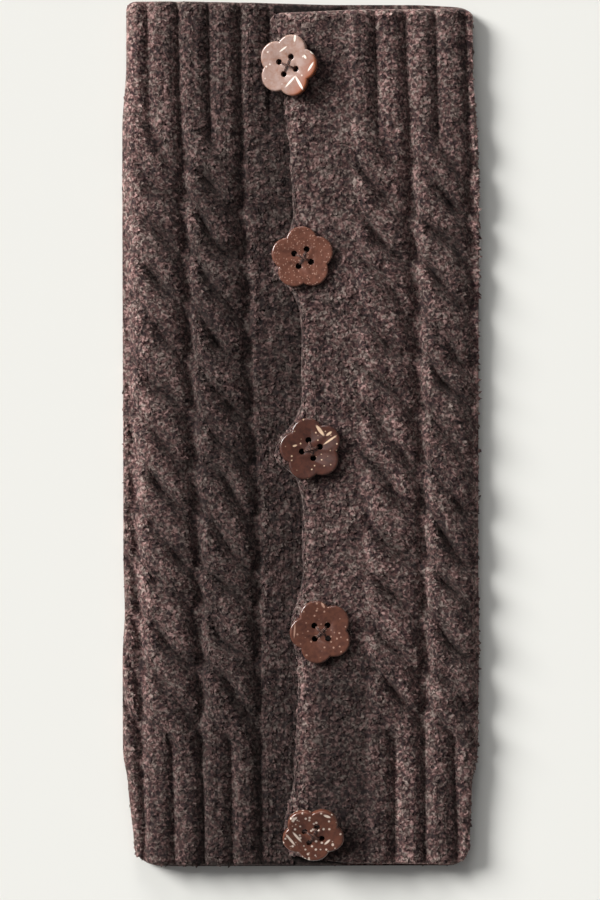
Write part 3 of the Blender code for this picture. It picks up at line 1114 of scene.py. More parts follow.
    def left_front(self) -> Laid:
        """From the left fold to the edge that the flap hides.

        Returns:
            The layer.
        """
        form = self.form
        rows = self.rows(self.fine_row)
        fold = read_table(SIDES, "left_fold", rows)
        lines = [fold + inset for inset in FOLD_INSETS]
        lines += [read_table(WALES, name, rows) for name in ("ropes_1_2", "rope_2_right")]
        lines += [form.flap_edge(rows) + form.past_flap, 0.0 * rows + form.under_edge]
        across, down = self.between(rows, lines, (*FOLD_STEPS, *self.left_columns))
        relief = form.front(across, down)
        inset = across - fold[:, None]
        flap_edge = form.flap_edge(down)
        hidden = smooth((across - flap_edge) / form.hidden_ease)
        puff = form.puff * arch(np.clip(inset / (flap_edge - fold[:, None]), 0.0, 1.0), 2.0)
        detail = form.stitch(relief) + form.uneven(across, down)
        wall = relief.wall + puff + detail * (1.0 - hidden)
        wall = np.where(hidden > 0.5, np.minimum(wall, form.plain_wall), wall)
        under = smooth((form.under_edge - across) / form.under_ease)
        wall = wall * (form.under_least + (1.0 - form.under_least) * under)
        return Laid(
            across=across,
            down=down,
            heights=form.round_fold(form.front_floor + wall, inset),
            inside_x=np.maximum(across, fold[:, None] + form.fold_wall),
            inside_z=0.0 * across + form.front_floor,
            relief=relief,
            cover=1.0 - hidden,
            shade=self.tone.left_front(across, down, hidden),
            hems=(LEFT_TOP, LEFT_BOTTOM),
        )

    def right_front(self) -> Laid:
        """From the flap's rolled edge to the right fold.

        Returns:
            The layer.
        """
        form = self.form
        rows = self.rows(self.fine_row)
        edge = form.flap_edge(rows) + form.edge_wander.at(0.0 * rows, rows)
        fold = read_table(SIDES, "right_fold", rows)
        lines = [edge + inset for inset in EDGE_INSETS]
        lines += [read_table(WALES, name, rows) for name in ("rope_3_left", "ropes_3_4")]
        lines += [fold - inset for inset in reversed(FOLD_INSETS)]
        across, down = self.between(rows, lines, (*EDGE_STEPS, *self.right_columns, *FOLD_STEPS))
        relief = form.front(across, down)
        inset = across - edge[:, None]
        to_fold = fold[:, None] - across
        puff = form.flap_puff * arch(np.clip(inset / (fold - edge)[:, None], 0.0, 1.0), 2.0)
        detail = form.stitch(relief) + form.uneven(across, down) + form.ridge(inset, down)
        rolled = form.edge_least + (1.0 - form.edge_least) * quarter_round(inset, form.edge_round)
        wall = (relief.wall + puff + detail - form.pressed(across, down)) * rolled
        inside_x = np.minimum(across, fold[:, None] - form.fold_wall)
        return Laid(
            across=across,
            down=down,
            heights=form.round_fold(form.flap_floor(across) + wall, to_fold),
            inside_x=inside_x,
            inside_z=form.flap_floor(inside_x),
            relief=relief,
            cover=1.0 + self.edge_nap * (1.0 - smooth(inset / form.hidden_ease)),
            shade=self.tone.right_front(across, down, inset, to_fold),
            hems=(FLAP_TOP_HEM, FLAP_BOTTOM_HEM),
        )

    def back(self) -> Laid:
        """From the left fold to the right one, with its crests pressed flat by the surface.

        Returns:
            The layer.
        """
        form = self.form
        rows = self.rows(self.back_row)
        left, right = (read_table(SIDES, name, rows) for name in ("left_fold", "right_fold"))
        lines = [left + inset for inset in FOLD_INSETS] + [right - inset for inset in reversed(FOLD_INSETS)]
        across, down = self.between(rows, lines, (*FOLD_STEPS, self.back_columns, *FOLD_STEPS))
        sides = [0.0 * across + place * form.back_rope_width for place in range(-3, 4)]
        ropes = [(start, end, 0.0) for start, end in zip(sides, sides[1:])]
        relief = form.with_ropes(form.plain(across, down), across, down, ropes)
        inset = np.minimum(across - left[:, None], right[:, None] - across)
        lofty = relief.wall + form.stitch(relief) + form.uneven(across, down)
        sunk = form.back_relief * np.maximum(form.rope_crest - form.back_crush - lofty, 0.0)
        sunk = np.clip(sunk, 0.0, form.back_depth) * smooth((inset - form.back_start) / form.back_ease)
        even = 0.0 * across + 1.0
        return Laid(
            across=across,
            down=down,
            heights=form.fold_middle * (1.0 - quarter_round(inset, form.underside_round)) + sunk,
            inside_x=np.clip(across, left[:, None] + form.fold_wall, right[:, None] - form.fold_wall),
            inside_z=0.0 * across + form.back_wall,
            relief=relief,
            cover=even,
            shade=even,
            hems=(BACK_TOP, BACK_BOTTOM),
            outward=-1.0,
        )

    @staticmethod
    def rim(skin_line: Sequence[int], inner_line: Sequence[int], step_places: Sequence[int]) -> list:
        """Triangles between a fine border of the skin and the coarse border of the inside.

        Args:
            skin_line: the skin's vertices along the border.
            inner_line: the inside's vertices along it.
            step_places: where each inner vertex lies among the skin's.

        Returns:
            The triangles, as vertex numbers.
        """
        faces = []
        for number, (start, end) in enumerate(zip(step_places, step_places[1:])):
            middle = (start + end) // 2
            near, far = inner_line[number], inner_line[number + 1]
            for place in range(start, end):
                corner = near if place < middle else far
                faces.append((skin_line[place + 1], skin_line[place], corner))
            faces.append((far, skin_line[middle], near))
        return faces

    def shell(self, layer: Layer, skin: Skin) -> Piece:
        """Closes one layer into a thin shell, with its maps and finish.

        Args:
            layer: which layer it is.
            skin: its skin and inside.

        Returns:
            The piece.
        """
        rows, columns = skin.hollow.shape
        row_steps = [0, self.hem_row, *range(self.inside_rows, rows - self.inside_rows, self.inside_rows)]
        row_steps += [rows - 1 - self.hem_row, rows - 1]
        column_steps = [*range(0, columns - 1, self.inside_columns), columns - 1]
        kept = np.ix_(row_steps, column_steps)
        inner = skin.inside[kept]
        outer_index = np.arange(rows * columns).reshape(rows, columns)
        inner_index = rows * columns + np.arange(inner[..., 0].size).reshape(inner.shape[:2])
        quads = [
            np.stack([grid[:-1, :-1], grid[1:, :-1], grid[1:, 1:], grid[:-1, 1:]], axis=-1).reshape(-1, 4)
            for grid in (outer_index, inner_index[:, ::-1])
        ]
        faces = [tuple(face) for group in quads for face in group.tolist()]
        borders = (
            (outer_index[0, ::-1], inner_index[0, ::-1], [columns - 1 - step for step in column_steps][::-1]),
            (outer_index[-1], inner_index[-1], column_steps),
            (outer_index[:, 0], inner_index[:, 0], row_steps),
            (outer_index[::-1, -1], inner_index[::-1, -1], [rows - 1 - step for step in row_steps][::-1]),
        )
        for skin_line, inner_line, places in borders:
            faces += self.rim(skin_line.tolist(), inner_line.tolist(), places)
        points = np.concatenate([skin.points.reshape(-1, 3), inner.reshape(-1, 3)]) * MM
        mesh = bpy.data.meshes.new(layer.value)
        mesh.from_pydata(points.tolist(), [], faces)
        # Painted light and shade of the skin and of the inside, kept as the "shade" values.
        shade = np.concatenate([skin.shade.reshape(-1), skin.inner_shade[kept].reshape(-1)])
        set_values(mesh, "shade", shade)
        set_bake_map(mesh, self.bake_places(corner_vertices(mesh), rows, columns, inner.shape))
        piece = add_piece(layer.value, mesh)
        close_and_smooth(mesh, outward_volume(points, mesh))
        mesh.materials.append(self.wool)
        return piece

    @staticmethod
    def bake_places(corners: Grid, rows: int, columns: int, inner_shape: Sequence[int]) -> Grid:
        """Lays a shell out flat: the skin in two halves side by side, with the rims and the inside above.

        Args:
            corners: the vertex at each face corner, the skin's quads first, then the inside's.
            rows: the skin's rows.
            columns: the skin's columns.
            inner_shape: the inside's rows and columns.

        Returns:
            The place of each face corner, from 0 to 1.
        """
        inner_rows, inner_columns = inner_shape[:2]
        quad_rows = np.repeat(np.arange(rows - 1), (columns - 1) * 4)
        half = (rows - 1) // 2
        places = np.zeros((len(corners), 2))
        outer = slice(0, len(quad_rows))
        row, column = np.divmod(corners[outer], columns)
        lower = quad_rows >= half
        share = np.where(lower, (row - half) / (rows - 1 - half), row / half)
        places[outer, 0] = BAKE_EDGE + BAKE_HALF * column / (columns - 1) + 0.5 * lower
        places[outer, 1] = BAKE_EDGE + BAKE_SKIN * share
        rest = corners[len(quad_rows) :]
        on_skin = rest < rows * columns
        inner_row, inner_column = np.divmod(np.maximum(rest - rows * columns, 0), inner_columns)
        skin_row, skin_column = np.divmod(rest, columns)
        row_share = np.where(on_skin, skin_row / (rows - 1), inner_row / (inner_rows - 1))
        column_share = np.where(on_skin, skin_column / (columns - 1), inner_column / (inner_columns - 1))
        places[len(quad_rows) :, 0] = BAKE_EDGE + BAKE_WHOLE * row_share
        places[len(quad_rows) :, 1] = BAKE_ABOVE + BAKE_INSIDE * column_share + BAKE_EDGE * on_skin
        return places

    def build(self) -> list[tuple[Piece, Skin]]:
        """Returns:
            Each piece with its skin.
        """
        makers = {
            Layer.BACK: self.back,
            Layer.LEFT_FRONT: self.left_front,
            Layer.RIGHT_FRONT: self.right_front,
        }
        made = []
        for layer, maker in makers.items():
            skin = self.skin(maker())
            piece = self.shell(layer, skin)
            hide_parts(PANEL_NODE)
            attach(piece, ROW_BODY)
            made.append((piece, skin))
            LOG.info("%s: %d faces", piece.name, len(piece.data.polygons))
        return made


def outward_volume(points: Grid, mesh: Mesh) -> float:
    """The signed volume of a closed mesh.

    Args:
        points: its vertices.
        mesh: the mesh.

    Returns:
        The volume, above 0 if its faces point outwards.
    """
    mesh.calc_loop_triangles()
    corners = np.empty(len(mesh.loop_triangles) * 3, dtype=np.int32)
    mesh.loop_triangles.foreach_get("vertices", corners)
    a, b, c = (points[corners[offset::3]] for offset in range(3))
    return float(np.einsum("ij,ij->i", a, np.cross(b, c)).sum() / 6.0)


def close_and_smooth(mesh: Mesh, volume: float) -> None:
    """Turns a closed mesh's faces outwards and smooths its shading, except at its thin edges."""
    if volume < 0.0:
        mesh.flip_normals()
    mesh.shade_smooth()
    mesh.set_sharp_from_angle(angle=KNIT_SHARP)


@dataclass
class WoolNap:
    """Loose fibres that felting has raised: tapered ribbons that lie along the stitches' legs.

    A single fibre is too fine to show, so each ribbon is as wide as a small tuft.
    """

    wool: Material
    width: float = 1.2
    width_range: tuple[float, float] = (0.6, 1.25)
    length_range: tuple[float, float] = (1.2, 2.2)
    lift: float = 0.035
    lift_range: tuple[float, float] = (0.2, 1.3)
    tip_range: tuple[float, float] = (-1.0, 0.6)
    root_depth: float = 0.08
    root_share: float = 0.6
    least_height: float = 0.02
    tone_spread: float = 0.03
    leg_slant: float = radians(26.0)
    stray: float = radians(38.0)
    bend: float = 0.8
    roll: float = radians(3.0)
    points_per_fibre: int = 5
    groove_bareness: float = 0.75

    def scatter(self, skin: Skin, count: int, rng: np.random.Generator) -> tuple:
        """Chooses where the fibres grow.

        Args:
            skin: the layer's skin.
            count: how many fibres.
            rng: the scatter.

        Returns:
            The cell of the skin's grid, the place and the skin's normal for each fibre.
        """
        points = skin.points
        normal = np.cross(np.gradient(points, axis=0), np.gradient(points, axis=1))
        area = np.linalg.norm(normal, axis=-1)
        normal = normal / np.maximum(area, 1e-9)[..., None]
        normal = normal * np.sign(np.mean(normal[..., 2])) * skin.outward
        bare = 1.0 - self.groove_bareness * np.clip(skin.hollow, 0.0, 1.0)
        weight = (area * skin.cover * bare)[:-1, :-1].reshape(-1)
        chosen = rng.choice(weight.size, size=count, p=weight / weight.sum())
        row, column = np.divmod(chosen, points.shape[1] - 1)
        s = rng.uniform(0.0, 1.0, (count, 1))
        t = rng.uniform(0.0, 1.0, (count, 1))
        upper = points[row, column] * (1 - s) + points[row, column + 1] * s
        lower = points[row + 1, column] * (1 - s) + points[row + 1, column + 1] * s
        return (row, column), upper * (1 - t) + lower * t, normal[row, column]

    def ribbons(self, skin: Skin, cell: tuple, here: Grid, up: Grid, rng: np.random.Generator) -> Grid:
        """Shapes each fibre.

        Args:
            skin: the layer's skin.
            cell: each fibre's cell of the skin's grid.
            here: its place.
            up: the skin's normal there.
            rng: the scatter.

        Returns:
            Its corners: two at the root, two in the middle and the tip.
        """
        count = len(here)
        downward = np.gradient(skin.points, axis=0)[cell]
        downward = downward / np.linalg.norm(downward, axis=1, keepdims=True)
        rightward = np.cross(up, downward)
        rightward = rightward * np.sign(rightward[:, :1] + 1e-12)
        angle = skin.heading[cell] + self.leg_slant * skin.leg[cell]
        angle = (angle + rng.normal(0.0, self.stray, count))[:, None]
        ahead = np.cos(angle) * downward + np.sin(angle) * rightward
        bent = angle + rng.normal(0.0, self.bend, (count, 1))
        later = np.cos(bent) * downward + np.sin(bent) * rightward
        roll = rng.normal(0.0, self.roll, (count, 1))
        side = np.cos(roll) * np.cross(up, ahead) + np.sin(roll) * up
        length = rng.uniform(*self.length_range, (count, 1))
        side = side * self.width * rng.uniform(*self.width_range, (count, 1)) / 2.0
        lift = self.lift * rng.uniform(*self.lift_range, (count, 1))
        root = here - self.root_depth * up
        middle = here + 0.5 * length * ahead + lift * up
        tip = middle + 0.5 * length * later + lift * rng.uniform(*self.tip_range, (count, 1)) * up
        root_side = self.root_share * side
        corners = np.stack([root - root_side, root + root_side, middle - side, middle + side, tip], axis=1)
        if skin.outward < 0.0:
            corners[..., 2] = np.maximum(corners[..., 2], self.least_height)
        return corners

    def grow(self, name: str, skin: Skin, count: int, seed: int) -> Piece:
        """Grows the nap of one layer.

        Args:
            name: the piece's name.
            skin: the layer's skin.
            count: how many fibres.
            seed: which scatter.

        Returns:
            The piece.
        """
        rng = np.random.default_rng(SEED + seed)
        cell, here, up = self.scatter(skin, count, rng)
        corners = self.ribbons(skin, cell, here, up, rng)
        start = np.arange(count)[:, None] * self.points_per_fibre
        faces = (start[:, None, :] + np.array(FIBRE_FACES)[None]).reshape(-1, 3)
        mesh = bpy.data.meshes.new(name)
        mesh.from_pydata((corners.reshape(-1, 3) * MM).tolist(), [], faces.tolist())
        mesh.shade_smooth()
        mesh.normals_split_custom_set_from_vertices(np.repeat(up, self.points_per_fibre, axis=0).tolist())
        fibre = rng.normal(0.0, self.tone_spread, count)
        # Each fibre takes the painted light and shade of its place on the skin.
        for label, values in (("fibre", fibre), ("shade", skin.shade[cell])):
            set_values(mesh, label, np.repeat(values, self.points_per_fibre))
        per_side = int(np.ceil(np.sqrt(count)))
        square_row, square_column = np.divmod(np.arange(count), per_side)
        squares = np.stack([square_column, square_row], axis=-1)[:, None, :]
        places = ((squares + np.array(FIBRE_MAP)[None]) / per_side).reshape(-1, 2)
        set_bake_map(mesh, places[corner_vertices(mesh)])
        mesh.materials.append(self.wool)
        piece = add_piece(name, mesh)
        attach(piece, ROW_BODY)
        LOG.info("%s: %d fibres", name, count)
        return piece


@dataclass(frozen=True)
class CoconutShell:
    """Polished coconut shell, sawn and buffed, with a clear wax gloss.

    It gives the eye a warm red-brown face with fine pale flecks and veining, and a soft mirror on top. Some
    of its pale lines are painted glints. A pale shell can keep some brown bark along its side.
    """

    name: str
    face: str
    deep: str
    fleck: str
    fleck_cell: float
    fleck_size: float
    veins_and_glints: tuple[VeinAndGlint, ...] = ()
    bark: str = ""
    bark_way: tuple[float, float, float] = (0.87, -0.5, 0.0)
    bark_ends: tuple[float, float] = (3.4, 7.8)
    vein_and_glint_ends: tuple[float, float] = (0.75, 1.15)
    fleck_ease: float = 0.1
    fleck_share: float = 0.85
    grain: float = 1.6
    grain_detail: float = 4.0
    grain_roughness: float = 0.6
    grain_warp: float = 0.4
    deep_place: float = 0.3
    face_place: float = 0.62
    bump_depth: float = 0.05
    bump_strength: float = 0.5
    roughness: float = 0.32
    coat: float = 0.7
    coat_roughness: float = 0.12

    def vein_and_glint_mask(self, tree: Tree, place: Socket, vein_or_glint: VeinAndGlint) -> Socket:
        """1 on a pale line and 0 off it; the lines are the shell's veining, and some are painted glints.

        Args:
            tree: the material's nodes.
            place: the place from the button's centre, in millimetres.
            vein_or_glint: the pale line.

        Returns:
            The mask.
        """
        inputs = {0: place, 1: (vein_or_glint.across, vein_or_glint.up, 0.0)}
        moved = add_node(tree, "ShaderNodeVectorMath", inputs, operation="SUBTRACT")
        inputs = {"Vector": moved.outputs["Vector"], "Angle": -radians(vein_or_glint.turn)}
        turned = add_node(tree, "ShaderNodeVectorRotate", inputs, rotation_type="Z_AXIS")
        inputs = {0: turned.outputs["Vector"], 1: (2.0 / vein_or_glint.length, 2.0 / vein_or_glint.width, 0.0)}
        shaped = add_node(tree, "ShaderNodeVectorMath", inputs, operation="MULTIPLY")
        far = add_node(tree, "ShaderNodeVectorMath", {0: shaped.outputs["Vector"]}, operation="LENGTH")
        return map_range(tree, far.outputs["Value"], self.vein_and_glint_ends, (1.0, 0.0))

    def material(self, centre: tuple[float, float]) -> Material:
        """Makes the finish of one button.

        Args:
            centre: the button's x and y, in millimetres.

        Returns:
            The material.
        """
        made, tree, shader = new_material(self.name)
        inputs = {
            "Vector": add_node(tree, "ShaderNodeTexCoord").outputs["Object"],
            "Location": (-centre[0], -centre[1], 0.0),
            "Scale": (1.0 / MM, 1.0 / MM, 1.0 / MM),
        }
        place = add_node(tree, "ShaderNodeMapping", inputs).outputs["Vector"]
        inputs = {
            "Vector": place,
            "Scale": 1.0 / self.grain,
            "Detail": self.grain_detail,
            "Roughness": self.grain_roughness,
            "Distortion": self.grain_warp,
        }
        grain = add_node(tree, "ShaderNodeTexNoise", inputs).outputs["Fac"]
        colour = colour_ramp(tree, grain, ((self.deep_place, self.deep), (self.face_place, self.face)))
        if self.bark:
            inputs = {0: place, 1: self.bark_way}
            side = add_node(tree, "ShaderNodeVectorMath", inputs, operation="DOT_PRODUCT")
            share = map_range(tree, side.outputs["Value"], self.bark_ends, (0.0, 1.0))
            inputs = {"Fac": share, "Color1": colour, "Color2": linear(self.bark)}
            colour = add_node(tree, "ShaderNodeMixRGB", inputs).outputs["Color"]
        inputs = {"Vector": place, "Scale": 1.0 / self.fleck_cell, "Randomness": 1.0}
        far = add_node(tree, "ShaderNodeTexVoronoi", inputs).outputs["Distance"]
        ends = (self.fleck_size, self.fleck_size + self.fleck_ease)
        mask = map_range(tree, far, ends, (self.fleck_share, 0.0))
        # Pale lines: the shell's veining, and on some buttons painted glints.
        for vein_or_glint in self.veins_and_glints:
            inputs = {0: mask, 1: self.vein_and_glint_mask(tree, place, vein_or_glint)}
            mask = add_node(tree, "ShaderNodeMath", inputs, operation="MAXIMUM").outputs["Value"]
        inputs = {"Fac": mask, "Color1": colour, "Color2": linear(self.fleck)}
        colour = add_node(tree, "ShaderNodeMixRGB", inputs).outputs["Color"]
        values = {
            "Roughness": self.roughness,
            "Coat Weight": self.coat,
            "Coat Roughness": self.coat_roughness,
        }
        bump = {"depth": self.bump_depth, "strength": self.bump_strength}
        finish_shader(tree, shader, colour, grain, values, **bump)
        return made


def only_active(piece: Piece) -> None:
    """Selects one object and nothing else."""
    bpy.ops.object.select_all(action="DESELECT")
    piece.select_set(True)
    bpy.context.view_layer.objects.active = piece


def fix_place(piece: Piece) -> None:
    """Turns a piece's own place, turn and scale into its mesh's."""
    only_active(piece)
    bpy.ops.object.transform_apply(location=True, rotation=True, scale=True)


def add_cylinder(radius: float, depth: float, middle: tuple[float, float, float], vertices: int) -> Piece:
    """Makes an upright cylinder.

    Args:
        radius: its radius, in millimetres.
        depth: its height, in millimetres.
        middle: its middle, in millimetres.
        vertices: the steps round it.

    Returns:
        The piece.
    """
    bpy.ops.object.select_all(action="DESELECT")
    location = [value * MM for value in middle]
    bpy.ops.mesh.primitive_cylinder_add(
        vertices=vertices, radius=radius * MM, depth=depth * MM, location=location
    )
    made = bpy.context.object
    fix_place(made)
    return made


def use_boolean(piece: Piece, tool: Piece, operation: str) -> None:
    """Joins a tool to a piece or cuts it out, and removes the tool.

    Args:
        piece: the piece.
        tool: the tool.
        operation: UNION or DIFFERENCE.
    """
    change = piece.modifiers.new("shape", "BOOLEAN")
    change.operation = operation
    change.solver = "EXACT"
    change.object = tool
    only_active(piece)
    bpy.ops.object.modifier_apply(modifier=change.name)
    bpy.data.objects.remove(tool, do_unlink=True)


def bevel_edges(piece: Piece, wanted: EdgeTest, width: float, segments: int) -> None:
    """Bevels some of a piece's edges.

    Args:
        piece: the object.
        wanted: a test of one edge.
        width: the bevel's width, in millimetres.
        segments: its steps.
    """
    only_active(piece)
    bpy.ops.object.mode_set(mode="EDIT")
    bpy.ops.mesh.select_mode(type="EDGE")
    bpy.ops.mesh.select_all(action="DESELECT")
    form = bmesh.from_edit_mesh(piece.data)
    for edge in form.edges:
        edge.select_set(wanted(edge))
    bmesh.update_edit_mesh(piece.data)
    bpy.ops.mesh.bevel(offset=width * MM, segments=segments, affect="EDGES")
    bpy.ops.object.mode_set(mode="OBJECT")


@dataclass
class ButtonMaker:
    """Models the flower-shaped buttons and the thread that sews them on."""

    form: KnitForm
    petals: int = 5
    petal_radius: float = 5.6
    petal_reach: float = 5.4
    thickness: float = 2.4
    rim_bevel: float = 0.6
    underside_bevel: float = 0.25
    lip_width: float = 1.1
    lip_flat: float = 0.35
    lip_depth: float = 0.14
    hole_radius: float = 1.05
    hole_spacing: float = 4.6
    hole_bevel: float = 0.1
    hole_slack: float = 0.02
    petal_steps: int = 56
    hole_steps: int = 28
    thread_radius: float = 0.18
    thread_apart: float = 0.19
    thread_clear: float = 0.12
    thread_rise: float = 0.42
    thread_bow: float = 0.08
    thread_bend: float = 0.1
    thread_end: float = -1.2
    thread_low: float = 0.6
    thread_hole: float = 0.11
    thread_lip: float = 0.14
    thread_level: float = 0.3

    @property
    def reach(self) -> float:
        """From the middle of a button to the end of a petal."""
        return self.petal_reach + self.petal_radius

    def seat(self, place: ButtonPlace) -> float:
        """The height of the middle of a button's underside, with its low side just clear of the flap.

        Args:
            place: the button.

        Returns:
            The height.
        """
        low_reach = self.reach * place.height_share * sin(radians(place.tilt_down))
        heights = np.array([place.down - self.reach, place.down, place.down + self.reach])
        to_edge = min(place.across - float(self.form.flap_edge(heights).min()), self.reach)
        low_reach += to_edge * sin(radians(place.tilt_left))
        return self.form.flap_top + self.form.layer_gap + low_reach

    def blank(self) -> Piece:
        """A flower without holes, at the origin, with its underside at height 0.

        Returns:
            The blank, from which each button is copied.
        """
        petals = []
        for petal in range(self.petals):
            turn = 2.0 * pi * petal / self.petals
            middle = (self.petal_reach * cos(turn), self.petal_reach * sin(turn), self.thickness / 2)
            petals.append(add_cylinder(self.petal_radius, self.thickness, middle, self.petal_steps))
        flower = petals[0]
        for petal in petals[1:]:
            use_boolean(flower, petal, "UNION")
        only_active(flower)
        bpy.ops.object.mode_set(mode="EDIT")
        bpy.ops.mesh.select_all(action="SELECT")
        bpy.ops.mesh.remove_doubles(threshold=TINY)
        bpy.ops.mesh.dissolve_limited(angle_limit=radians(1.0))
        bpy.ops.object.mode_set(mode="OBJECT")
        for height, width, segments in ((self.thickness, self.rim_bevel, 4), (0.0, self.underside_bevel, 2)):
            bevel_edges(
                flower,
                lambda edge: all(abs(vert.co.z - height * MM) < TINY for vert in edge.verts),
                width,
                segments,
            )
        bpy.ops.object.mode_set(mode="EDIT")
        bpy.ops.mesh.select_mode(type="FACE")
        bpy.ops.mesh.select_all(action="DESELECT")
        form = bmesh.from_edit_mesh(flower.data)
        face = max(form.faces, key=lambda item: item.calc_area() * (item.normal.z > 0.99))
        face.select_set(True)
        bmesh.update_edit_mesh(flower.data)
        bpy.ops.mesh.inset(thickness=self.lip_flat * self.lip_width * MM, depth=0.0)
        bpy.ops.mesh.inset(thickness=(1.0 - self.lip_flat) * self.lip_width * MM, depth=-self.lip_depth * MM)
        bpy.ops.object.mode_set(mode="OBJECT")
        return flower

    def cut_holes(self, button: Piece, place: ButtonPlace) -> None:
        """Drills the four sewing holes and breaks their edges.

        Args:
            button: the piece.
            place: which button it is.
        """
        middles = self.hole_middles(place)
        for x, y in middles:
            middle = (x, y, self.thickness / 2)
            drill = add_cylinder(self.hole_radius, 4.0 * self.thickness, middle, self.hole_steps)
            use_boolean(button, drill, "DIFFERENCE")

        def on_rim(edge: bmesh.types.BMEdge) -> bool:
            """True on the upper edge of a hole."""
            spots = [vert.co / MM for vert in edge.verts]
            level = abs(edge.verts[0].co.z - edge.verts[1].co.z) < TINY
            far = [min(hypot(spot.x - x, spot.y - y) for x, y in middles) for spot in spots]
            on_hole = max(abs(value - self.hole_radius) for value in far) < self.hole_slack
            return level and on_hole and spots[0].z > 0.5 * self.thickness

        bevel_edges(button, on_rim, self.hole_bevel, 2)

    def hole_middles(self, place: ButtonPlace) -> list[tuple[float, float]]:
        """The middles of the four holes, from the button's centre."""
        reach = hypot(self.hole_spacing, self.hole_spacing) / 2
        turns = [radians(place.hole_turn) + pi / 4 + corner * pi / 2 for corner in range(4)]
        return [(reach * cos(turn), reach * sin(turn)) for turn in turns]

    def lay(self, piece: Piece, place: ButtonPlace) -> None:
        """Tilts a piece made about the origin and puts it where the button sits.

        Args:
            piece: the piece.
            place: the button that it is or belongs to.
        """
        piece.rotation_euler = (radians(place.tilt_down), -radians(place.tilt_left), 0.0)
        spot = (place.across, self.form.length / 2 - place.down, self.seat(place))
        piece.location = [value * MM for value in spot]
        fix_place(piece)

    def button(self, number: int, blank: Piece, finish: CoconutShell) -> Piece:
        """One button, copied from the blank, turned, cut, drilled and laid on the flap.

        Args:
            number: which button, from 1 at the top.
            blank: the blank.
            finish: its shell.

        Returns:
            The piece.
        """
        place = BUTTONS[number - 1]
        button = add_piece(f"coconut_button_{number}", blank.data.copy())
        button.data.name = button.name
        button.rotation_euler = (0.0, 0.0, radians(place.petal_turn))
        fix_place(button)
        button.scale = (place.width_share, place.height_share, 1.0)
        fix_place(button)
        self.cut_holes(button, place)
        self.lay(button, place)
        bpy.ops.object.shade_smooth_by_angle(angle=SHELL_SHARP)
        button.data.materials.clear()
        centre = (place.across, self.form.length / 2 - place.down)
        button.data.materials.append(finish.material(centre))
        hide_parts(f"button_{number}")
        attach(button, ROW_BODY)
        return button

    def strands(self, place: ButtonPlace) -> list[list[tuple[float, float, float]]]:
        """The paths of the thread's four strands, two over two, each up one hole and down the opposite one.

        Args:
            place: the button.

        Returns:
            The points of each strand, in metres from the middle of the button's underside.
        """
        face = self.thickness - self.lip_depth
        middles = self.hole_middles(place)
        paths = []
        for order, (start, end) in enumerate(((middles[0], middles[2]), (middles[1], middles[3]))):
            way = np.subtract(end, start)
            ahead = way / np.hypot(*way)
            top = face + self.thread_radius + self.thread_clear + self.thread_rise * order
            rise = [
                (self.thread_hole, self.thread_end),
                (self.thread_hole, self.thread_low * face),
                (self.thread_lip, face + self.thread_bend),
                (self.thread_level, top),
            ]
            fall = [(1.0 - share, height) for share, height in reversed(rise)]
            for side in (-1.0, 1.0):
                shift = side * self.thread_apart * np.array([-ahead[1], ahead[0]])
                path = [
                    (*(np.array(start) + way * share + shift) * MM, height * MM)
                    for share, height in (*rise, (0.5, top + self.thread_bow), *fall)
                ]
                paths.append(path)
        return paths

    def thread(self, number: int, material: Material) -> Piece:
        """The sewing thread of one button: doubled strands that cross between its holes.

        Args:
            number: which button.
            material: the thread's finish.

        Returns:
            The piece.
        """
        place = BUTTONS[number - 1]
        bpy.ops.object.select_all(action="DESELECT")
        bpy.ops.curve.primitive_nurbs_path_add(location=(0.0, 0.0, 0.0))
        piece = bpy.context.object
        piece.name = f"button_thread_{number}"
        curve = piece.data
        curve.name = piece.name
        curve.splines.clear()
        for strand in self.strands(place):
            spline = curve.splines.new("NURBS")
            spline.points.add(len(strand) - 1)
            for point, spot in zip(spline.points, strand):
                point.co = (*spot, 1.0)
            spline.use_endpoint_u = True
            spline.order_u = 3
            spline.resolution_u = 4
        curve.bevel_depth = self.thread_radius * MM
        curve.bevel_resolution = 2
        curve.use_fill_caps = True
        only_active(piece)
        bpy.ops.object.convert(target="MESH")
        piece = bpy.context.object
        self.lay(piece, place)
        bpy.ops.object.shade_smooth()
        piece.data.materials.clear()
        piece.data.materials.append(material)
        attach(piece, ROW_BODY)
        return piece


@dataclass(frozen=True)
class SewingThread:
    """Waxed polyester sewing thread, twisted: a dark brown with a faint sheen and fine slanting plies."""

    light: str = "#6c4b40"
    dark: str = "#38241f"
    light_place: float = 0.8
    dark_place: float = 0.1
    ply: float = 0.35
    warp: float = 1.0
    bump_depth: float = 0.05
    roughness: float = 0.6

    def material(self) -> Material:
        """Makes the finish.

        Returns:
            The material.
        """
        made, tree, shader = new_material("twisted_sewing_thread")
        inputs = {
            "Vector": add_node(tree, "ShaderNodeTexCoord").outputs["Object"],
            "Scale": pi / WAVE_SCALE / (self.ply * MM),
            "Distortion": self.warp,
        }
        plies = add_node(tree, "ShaderNodeTexWave", inputs, bands_direction="DIAGONAL").outputs["Fac"]
        colour = colour_ramp(tree, plies, ((self.dark_place, self.dark), (self.light_place, self.light)))
        values = {"Roughness": self.roughness}
        finish_shader(tree, shader, colour, plies, values, depth=self.bump_depth, strength=1.0)
        return made


